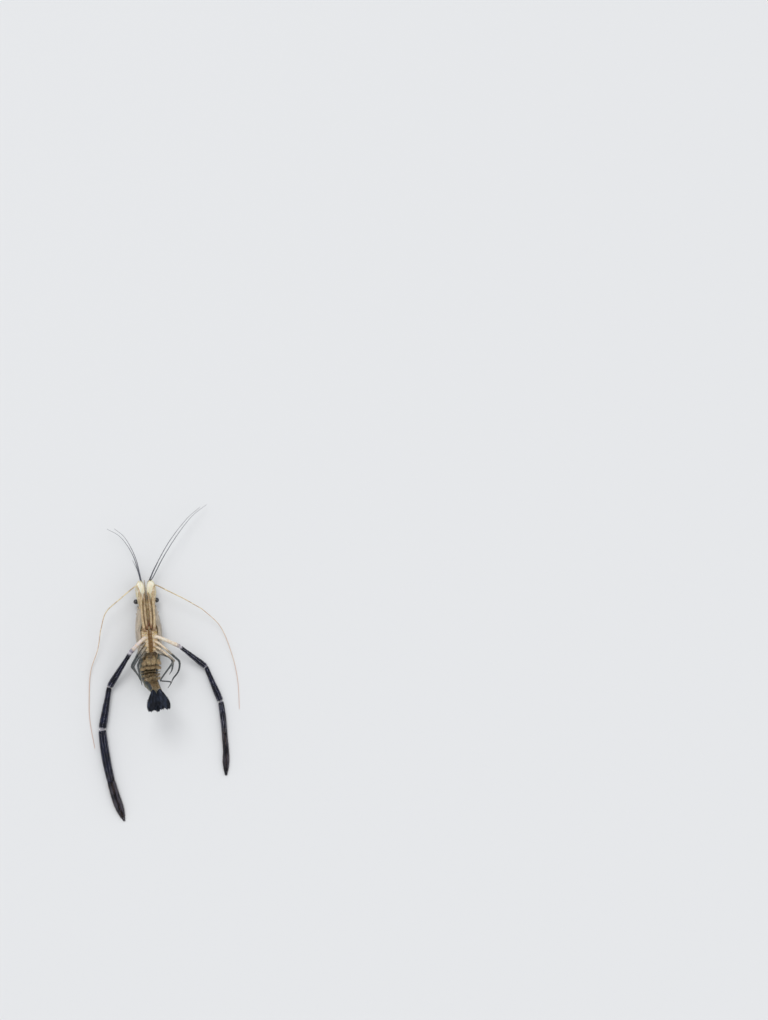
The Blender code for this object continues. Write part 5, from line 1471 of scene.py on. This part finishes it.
def make_claws(sizes, colours):
    """The two long claws: ischium, merus, carpus, palm with its fixed finger, and the movable finger.

    Each is a profile carried along its middle line, set with rows of spines and finer ones between, with a
    pale folded collar at each joint, cutting teeth and a velvet of short setae on the fingers."""
    blue, joint, finger, horn, velvet = claw_finishes(colours)
    draw = np.random.default_rng(61)
    fuzz = []
    for box, (side_name, side) in enumerate(SIDES.items()):
        points, towards, faces, r = claw_joints(side_name)
        ischium, merus, carpus, palm, knuckle, bend, tip = points[2:]
        claw_root(draw, colours, side_name, points, faces[0], r)
        for label, a, b, first, last, w0, w1, fade, reach in (
            ("merus", ischium, merus, faces[0], faces[1], r[1], r[2], 1.1, 0.07),
            ("carpus", merus, carpus, faces[1], faces[2], r[2] * 0.96, r[3], 0.5, 0.02),
        ):
            widths = [share * (w0 + (w1 - w0) * k / 5) for k, share in enumerate(SEGMENT_WAIST)]
            grid = limb(a, b, first, last, widths)
            run = run_of(grid)
            shape = 0.18 * bump(run - 0.93, 0.03) - 0.3 * bump(run - 0.975, 0.012)
            shape = shape - 0.25 * bump(run - 0.05, 0.02)
            grid = raised(grid, shape[:, None] + 0.09 * uneven(grid, 5.0, 92))
            tint = np.clip(fade * bump(run, reach) + 0.55 * bump(run - 1.0, 0.05), 0, 1.2)
            fine = int(SEGMENT_FINE_SPINES * sizes.spininess)
            parts = [closed(grid, 0, tint), spiny(draw, grid, SEGMENT_SPINE_ROWS, 22, fine, 1.5, 0.38)]
            parts += joint_collar(b, last, w1, 1)
            node = f"claw_{side_name}_{label}"
            put(f"{node}_shell", parts, [blue, joint], [node])
        widths = [r[4] * share for share in PALM_WIDTHS]
        hand = limb(carpus, knuckle, faces[2], towards[4], widths, 0.97, palm, 150)
        run = run_of(hand)
        hand = raised(hand, -0.3 * bump(run - 0.03, 0.012)[:, None] + 0.1 * uneven(hand, 6.0, 94))
        middle_line = palm, knuckle, bend, tip
        fixed = finger_grid(*middle_line, r[5], FINGER_WIDTHS[side_name], side)
        moving = finger_grid(*middle_line, r[5], FINGER_WIDTHS[side_name], -side)
        parts = [closed(hand, 0, 0.6 * bump(run, 0.035)), closed(domed(fixed, 0.5), 2)]
        fine = int(PALM_FINE_SPINES * sizes.spininess)
        parts.append(spiny(draw, hand, PALM_SPINE_ROWS, 34, fine, 1.25, 0.36))
        parts.append(spiny(draw, fixed, FINGER_SPINE_ROWS, 12, 160, 0.6, 0.22, 2, 0.02, 0.6))
        parts.append(cutting_teeth(fixed, side, 3))
        finishes = [blue, joint, finger, horn]
        put(f"claw_{side_name}_hand", parts, finishes, [f"claw_{side_name}_palm"])
        whole = domed(moving, 0.5)
        parts = [closed(whole, 0, 0.25 * bump(run_of(whole), 0.04))]
        parts.append(spiny(draw, moving, FINGER_SPINE_ROWS, 12, 160, 0.6, 0.22, 0, 0.02, 0.6))
        parts.append(cutting_teeth(moving, -side, 1))
        put(f"claw_{side_name}_finger", parts, [finger, horn], [f"claw_{side_name}_dactyl"])
        for part, (piece, (count, first, last)) in enumerate(zip((fixed, moving, hand), VELVET)):
            middle = piece.mean(axis=1)
            radius = np.linalg.norm(piece - middle[:, None], axis=-1).mean(axis=1)
            route, count = np.column_stack([middle, radius]), int(count * sizes.hairiness)
            fuzz.append(bristles(draw, route, count, 0.7, 3 * box + part, 6, first, last, 1.2, 0.07))
    put("finger_velvet", fuzz, [velvet])


def joint_collar(centre, normal, radius, finish):
    """The folded skin at a claw joint, a ringed barrel across the gap, with a knob at either side."""
    across = unit(np.cross(normal, UP))
    lift = np.cross(across, unit(normal))
    step = np.linspace(-COLLAR_REACH, COLLAR_REACH, 25)
    half = radius * (0.86 + 0.04 * np.cos(step * 6.0))
    path = centre + unit(normal) * step[:, None]
    parts = [closed(domed(rings(np.column_stack([path, half]), 44), 0.2), finish)]
    for side in (-1, 1):
        place = centre + (across * side * 0.72 + lift * 0.5) * radius
        parts.append(blob(place, (radius * 0.2,) * 3, 0.04, 5, 24, 14, finish, 0.8))
    return parts


def cutting_teeth(grid, side, finish):
    """A row of low blunt teeth along a finger's cutting edge, largest near the knuckle."""
    share = np.linspace(0.06, 0.86, 26)
    r = (share * (len(grid) - 1)).astype(int)
    middle = grid.mean(axis=1)
    ahead = unit(np.gradient(middle, axis=0))[r]
    across = unit(np.cross(ahead, UP))
    inward = -across * np.sign(across[:, :1] * side)
    reach = np.linalg.norm(grid[r, 0] - middle[r], axis=1)
    feet = middle[r] + inward * (reach * 0.8)[:, None] + UP * (reach * 0.55)[:, None]
    size = np.where(share < 0.3, 1.0, 0.55)
    return thorns(feet, inward + 0.4 * UP + 0.2 * ahead, 0.75 * size, 0.42 * size, 8, finish)


def make_margins(sizes, colours):
    """Short setae along both edges of the carapace."""
    hair = chitin("margin setae, fine and pale", colours.setae_pale, colours.setae, colours.flank, **HAIR)
    draw = np.random.default_rng(67)
    coat = []
    count = int(MARGIN_SETAE * sizes.hairiness)
    for box, side in enumerate(SIDES.values()):
        y = np.linspace(*MARGIN_SPAN, count)
        turn = EDGE_ANGLE + np.radians(np.maximum(carapace_at(y, 6), 0.0))
        out = side * (carapace_at(y, 1) * np.sin(turn) - 0.3)
        above = (carapace_at(y, 4) - carapace_at(y, 3)) / -math.cos(EDGE_ANGLE)
        feet = lean_front(np.stack([out, y, carapace_at(y, 3) - above * np.cos(turn) + 0.05], axis=1))
        directions = unit(np.array([-0.5 * side, 0.25, 0.85]) + draw.normal(0.0, 0.12, (count, 3)))
        patches = np.stack([(box + 0.5 + 0 * y) / 2, (y + 16.0) / 68.0], axis=1)
        coat.append(setae(feet, directions, draw.uniform(0.7, 1.3, count), 0.06, patches))
    put("margin_setae", coat, [hair])


def make_stage(sizes, colours):
    """The pale floor, soft studio lights and the camera of the photograph's view."""
    scene = bpy.context.scene
    corners = [(x * STAGE_REACH, y * STAGE_REACH, 0) for x, y in ((-1, -1), (1, -1), (1, 1), (-1, 1))]
    floor = bpy.data.meshes.new("studio_floor")
    floor.from_pydata(corners, [], [(0, 1, 2, 3)])
    ground = bpy.data.objects.new("studio_floor", floor)
    paper, tree, shader = new_material("studio floor, matt pale board")
    seat = add_node(tree, "ShaderNodeTexCoord").outputs["Object"]
    set_inputs(shader, Base_Color=(*colours.floor, 1.0), Roughness=0.75)
    roughened(tree, clouds(tree, seat, 1.0 / 0.9, 2.0), 0.05, 0.1)
    floor.materials.append(paper)
    scene.collection.objects.link(ground)
    for name, place, spread, share in LAMPS:
        lamp = bpy.data.lights.new(name, "SUN")
        lamp.energy, lamp.angle = sizes.key_light * share, math.radians(spread)
        holder = bpy.data.objects.new(name, lamp)
        holder.matrix_world = looking(np.array(place), np.array(LAMP_AIM), 0.0)
        scene.collection.objects.link(holder)
    world = bpy.data.worlds.new("studio")
    world.use_nodes = True
    set_inputs(world.node_tree.nodes["Background"], Color=SKY, Strength=SKY_STRENGTH)
    scene.world = world
    camera = bpy.data.cameras.new("camera")
    camera.lens, camera.sensor_width, camera.sensor_fit = CAMERA_LENS, CAMERA_FRAME, "AUTO"
    camera.clip_start, camera.clip_end = 0.01, 200.0
    holder = bpy.data.objects.new("camera", camera)
    eye, aim = np.array(CAMERA_EYE) * MM, np.array(CAMERA_AIM) * MM
    holder.matrix_world = looking(eye, aim, math.radians(CAMERA_ROLL))
    scene.collection.objects.link(holder)
    scene.camera = holder
    scene.view_settings.view_transform = "Standard"


def looking(eye, aim, roll):
    """The matrix of a camera or lamp that looks at a place, its top towards +Y turned by the roll."""
    forward = unit(aim - eye)
    right = unit(np.cross(forward, [math.sin(roll), math.cos(roll), 0.0]))
    matrix = np.eye(4)
    matrix[:3] = np.column_stack([right, np.cross(right, forward), -forward, eye])
    return Matrix(matrix.tolist())


class PrawnSizes(bpy.types.PropertyGroup):
    """Sizes that may be changed"""

    eye_radius: bpy.props.FloatProperty(
        name="Eye radius", description="Radius of the cornea in millimetres", default=3.7, min=2.0, max=5.0
    )
    spininess: bpy.props.FloatProperty(
        name="Fine spines", description="Share of the fine spines on the claws",
        default=1.0, min=0.0, max=2.0, subtype="FACTOR",
    )
    hairiness: bpy.props.FloatProperty(
        name="Setae", description="Share of the setae", default=1.0, min=0.1, max=2.0, subtype="FACTOR"
    )
    key_light: bpy.props.FloatProperty(
        name="Key light", description="Strength of the key light", default=1.15, min=0.0
    )


def colour_property(name, description, code):
    """A colour that may be changed, given as an sRGB hex default."""
    return bpy.props.FloatVectorProperty(
        name=name, description=description, default=linear(code), subtype="COLOR", min=0.0, max=1.0
    )


class PrawnColours(bpy.types.PropertyGroup):
    """Colours that may be changed"""

    flank: colour_property("Flank", "Sides of the carapace", "#B3A591")
    flank_dark: colour_property("Flank shade", "Streaks on the sides", "#8E8474")
    back: colour_property("Back", "Back of the carapace", "#5E6152")
    ridge: colour_property("Ridge", "Reddish edges of the rostrum", "#6A4A3A")
    rostrum: colour_property("Rostrum", "Blade of the rostrum", "#B9AA8C")
    breast: colour_property("Breast", "Plates between the legs", "#B29966")
    breast_band: colour_property("Breast band", "Olive brown band between the legs", "#664615")
    leg_base: colour_property("Leg bases", "Bases of the legs", "#D6C4AA")
    line: colour_property("Line", "Brown lines of the underside", "#7A5636")
    head: colour_property("Head", "Underside of the head", "#A68F6A")
    head_light: colour_property("Head light", "Pale parts of the head", "#BDA882")
    mouth: colour_property("Mouth", "Jaws and lip", "#855022")
    tail_shell: colour_property("Tail shell", "Somites", "#75694C")
    tail_belly: colour_property("Tail belly", "Belly of the tail", "#8C785A")
    pleura: colour_property("Side flaps", "Blue green edges of the somites", "#1A2428")
    joint_orange: colour_property("Rear margins", "Orange rear margins of the somites", "#8A683F")
    joint_pale: colour_property("Pale joints", "Pale skin of joints", "#F0ECE8")
    joint_lilac: colour_property("Lilac joints", "Lilac skin of the claw joints", "#87828E")
    fan: colour_property("Fan", "Tail fan", "#0E1119")
    fan_light: colour_property("Fan light", "Sheen of the tail fan", "#252C3B")
    setae: colour_property("Setae", "Brown setae", "#6A5238")
    setae_pale: colour_property("Pale setae", "Pale setae", "#D6C69C")
    pleopod: colour_property("Swimming legs", "Swimming legs", "#8F7A5C")
    pleopod_light: colour_property("Swimming legs light", "Pale parts of the swimming legs", "#A79370")
    eye: colour_property("Eye", "Cornea", "#0C0B0D")
    feeler: colour_property("Antennules", "Stalks and lashes of the antennules", "#34363F")
    feeler_light: colour_property("Antennules light", "Pale parts of the antennules", "#5A5C66")
    feeler_fade: colour_property("Antennule tips", "Ends of the lashes", "#8B8B90")
    antenna: colour_property("Antennae", "Lashes of the antennae", "#DCCBA4")
    antenna_fade: colour_property("Antenna tips", "Ends of the antennae", "#CFAE9C")
    scale: colour_property("Scales", "Antennal scales", "#E2D9B9")
    scale_light: colour_property("Scales light", "Pale parts of the scales", "#EAE7D8")
    scale_edge: colour_property("Scale edges", "Edges of the scales", "#CBB98A")
    leg: colour_property("Legs", "Walking legs", "#2A3032")
    leg_light: colour_property("Legs light", "Pale parts of the walking legs", "#40484A")
    claw: colour_property("Claws", "Long claws", "#070912")
    claw_light: colour_property("Claws light", "Paler parts of the claws", "#0F142C")
    # Painted glints on the tips of the claw spines, and the pale colour of the segment ends
    claw_glint_and_joint: colour_property("Claw spine glints and joints", "Painted glints on the tips of the claw spines, segment ends", "#C6C3CA")
    finger: colour_property("Fingers", "Fingers of the claws", "#3C383F")
    root_lilac: colour_property("Right claw root", "Root of the right claw", "#CFC3C2")
    root_cream: colour_property("Left claw root", "Root of the left claw", "#E0D6C6")
    horn: colour_property("Horn", "Cutting teeth", "#A9825A")
    floor: colour_property("Floor", "Studio floor", "#DCDDDE")


class PrawnStep:
    """What every step shares"""

    bl_options = {"REGISTER", "UNDO"}

    def execute(self, context):
        """Makes this step's pieces from the sizes and colours of the scene."""
        type(self).make(context.scene.prawn_sizes, context.scene.prawn_colours)
        return {"FINISHED"}


class PRAWN_OT_stage(PrawnStep, bpy.types.Operator):
    """Sets the floor, the lights and the camera"""

    bl_idname = "prawn.stage"
    bl_label = "Stage"
    make = staticmethod(make_stage)


class PRAWN_OT_carapace(PrawnStep, bpy.types.Operator):
    """Makes the carapace with its grooves and spines"""

    bl_idname = "prawn.carapace"
    bl_label = "Carapace"
    make = staticmethod(make_carapace)


class PRAWN_OT_rostrum(PrawnStep, bpy.types.Operator):
    """Makes the toothed rostrum"""

    bl_idname = "prawn.rostrum"
    bl_label = "Rostrum"
    make = staticmethod(make_rostrum)


class PRAWN_OT_sternum(PrawnStep, bpy.types.Operator):
    """Makes the breast plates between the legs"""

    bl_idname = "prawn.sternum"
    bl_label = "Breast plates"
    make = staticmethod(make_sternum)


class PRAWN_OT_head(PrawnStep, bpy.types.Operator):
    """Makes the underside of the head"""

    bl_idname = "prawn.head"
    bl_label = "Head"
    make = staticmethod(make_head)


class PRAWN_OT_mouth(PrawnStep, bpy.types.Operator):
    """Makes the jaws, the lip and the inner mouth legs"""

    bl_idname = "prawn.mouth"
    bl_label = "Mouth"
    make = staticmethod(make_mouth)


class PRAWN_OT_abdomen(PrawnStep, bpy.types.Operator):
    """Makes the six somites of the tail"""

    bl_idname = "prawn.abdomen"
    bl_label = "Somites"
    make = staticmethod(make_abdomen)


class PRAWN_OT_fan(PrawnStep, bpy.types.Operator):
    """Makes the tail fan with its fringe"""

    bl_idname = "prawn.fan"
    bl_label = "Tail fan"
    make = staticmethod(make_fan)


class PRAWN_OT_pleopods(PrawnStep, bpy.types.Operator):
    """Makes the swimming legs with their fringes"""

    bl_idname = "prawn.pleopods"
    bl_label = "Swimming legs"
    make = staticmethod(make_pleopods)


class PRAWN_OT_eyes(PrawnStep, bpy.types.Operator):
    """Makes the stalked eyes"""

    bl_idname = "prawn.eyes"
    bl_label = "Eyes"
    make = staticmethod(make_eyes)


class PRAWN_OT_antennules(PrawnStep, bpy.types.Operator):
    """Makes the first feelers"""

    bl_idname = "prawn.antennules"
    bl_label = "Antennules"
    make = staticmethod(make_antennules)


class PRAWN_OT_antennae(PrawnStep, bpy.types.Operator):
    """Makes the second feelers"""

    bl_idname = "prawn.antennae"
    bl_label = "Antennae"
    make = staticmethod(make_antennae)


class PRAWN_OT_scales(PrawnStep, bpy.types.Operator):
    """Makes the antennal scales with their fringe"""

    bl_idname = "prawn.scales"
    bl_label = "Antennal scales"
    make = staticmethod(make_scales)


class PRAWN_OT_mouth_legs(PrawnStep, bpy.types.Operator):
    """Makes the slender legs over the mouth with their setae"""

    bl_idname = "prawn.mouth_legs"
    bl_label = "Mouth legs"
    make = staticmethod(make_mouth_legs)


class PRAWN_OT_first_legs(PrawnStep, bpy.types.Operator):
    """Makes the small first legs with their pincers"""

    bl_idname = "prawn.first_legs"
    bl_label = "First legs"
    make = staticmethod(make_first_legs)


class PRAWN_OT_walking_legs(PrawnStep, bpy.types.Operator):
    """Makes the walking legs with their setae"""

    bl_idname = "prawn.walking_legs"
    bl_label = "Walking legs"
    make = staticmethod(make_walking_legs)


class PRAWN_OT_claws(PrawnStep, bpy.types.Operator):
    """Makes the two long claws with their spines and velvet"""

    bl_idname = "prawn.claws"
    bl_label = "Claws"
    make = staticmethod(make_claws)


class PRAWN_OT_margins(PrawnStep, bpy.types.Operator):
    """Makes the setae along the shell's margins"""

    bl_idname = "prawn.margins"
    bl_label = "Margin setae"
    make = staticmethod(make_margins)


STEPS = [
    PRAWN_OT_stage, PRAWN_OT_carapace, PRAWN_OT_rostrum, PRAWN_OT_sternum, PRAWN_OT_head, PRAWN_OT_mouth,
    PRAWN_OT_abdomen, PRAWN_OT_fan, PRAWN_OT_pleopods, PRAWN_OT_eyes, PRAWN_OT_antennules,
    PRAWN_OT_antennae, PRAWN_OT_scales, PRAWN_OT_mouth_legs, PRAWN_OT_first_legs,
    PRAWN_OT_walking_legs, PRAWN_OT_claws, PRAWN_OT_margins,
]


class PRAWN_PT_steps(bpy.types.Panel):
    """Lists the steps that make the prawn"""

    bl_idname = "PRAWN_PT_steps"
    bl_label = "Giant river prawn"
    bl_space_type = "VIEW_3D"
    bl_region_type = "UI"
    bl_category = "Prawn"

    def draw(self, context):
        """Draws a button for each step and a field for each size and colour."""
        for step in STEPS:
            self.layout.operator(step.bl_idname)
        for group in (context.scene.prawn_sizes, context.scene.prawn_colours):
            for name in type(group).__annotations__:
                self.layout.prop(group, name)


CLASSES = [PrawnSizes, PrawnColours, *STEPS, PRAWN_PT_steps]


def register():
    """Registers the classes and puts the sizes and colours on the scene."""
    for each in CLASSES:
        bpy.utils.register_class(each)
    bpy.types.Scene.prawn_sizes = bpy.props.PointerProperty(type=PrawnSizes)
    bpy.types.Scene.prawn_colours = bpy.props.PointerProperty(type=PrawnColours)


def unregister():
    """Takes the sizes, the colours and the classes away again."""
    del bpy.types.Scene.prawn_colours
    del bpy.types.Scene.prawn_sizes
    for each in reversed(CLASSES):
        bpy.utils.unregister_class(each)


def main():
    """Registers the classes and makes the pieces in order."""
    register()
    for step in STEPS:
        group, name = step.bl_idname.split(".")
        getattr(getattr(bpy.ops, group), name)()
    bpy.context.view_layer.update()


if __name__ == "__main__":
    main()
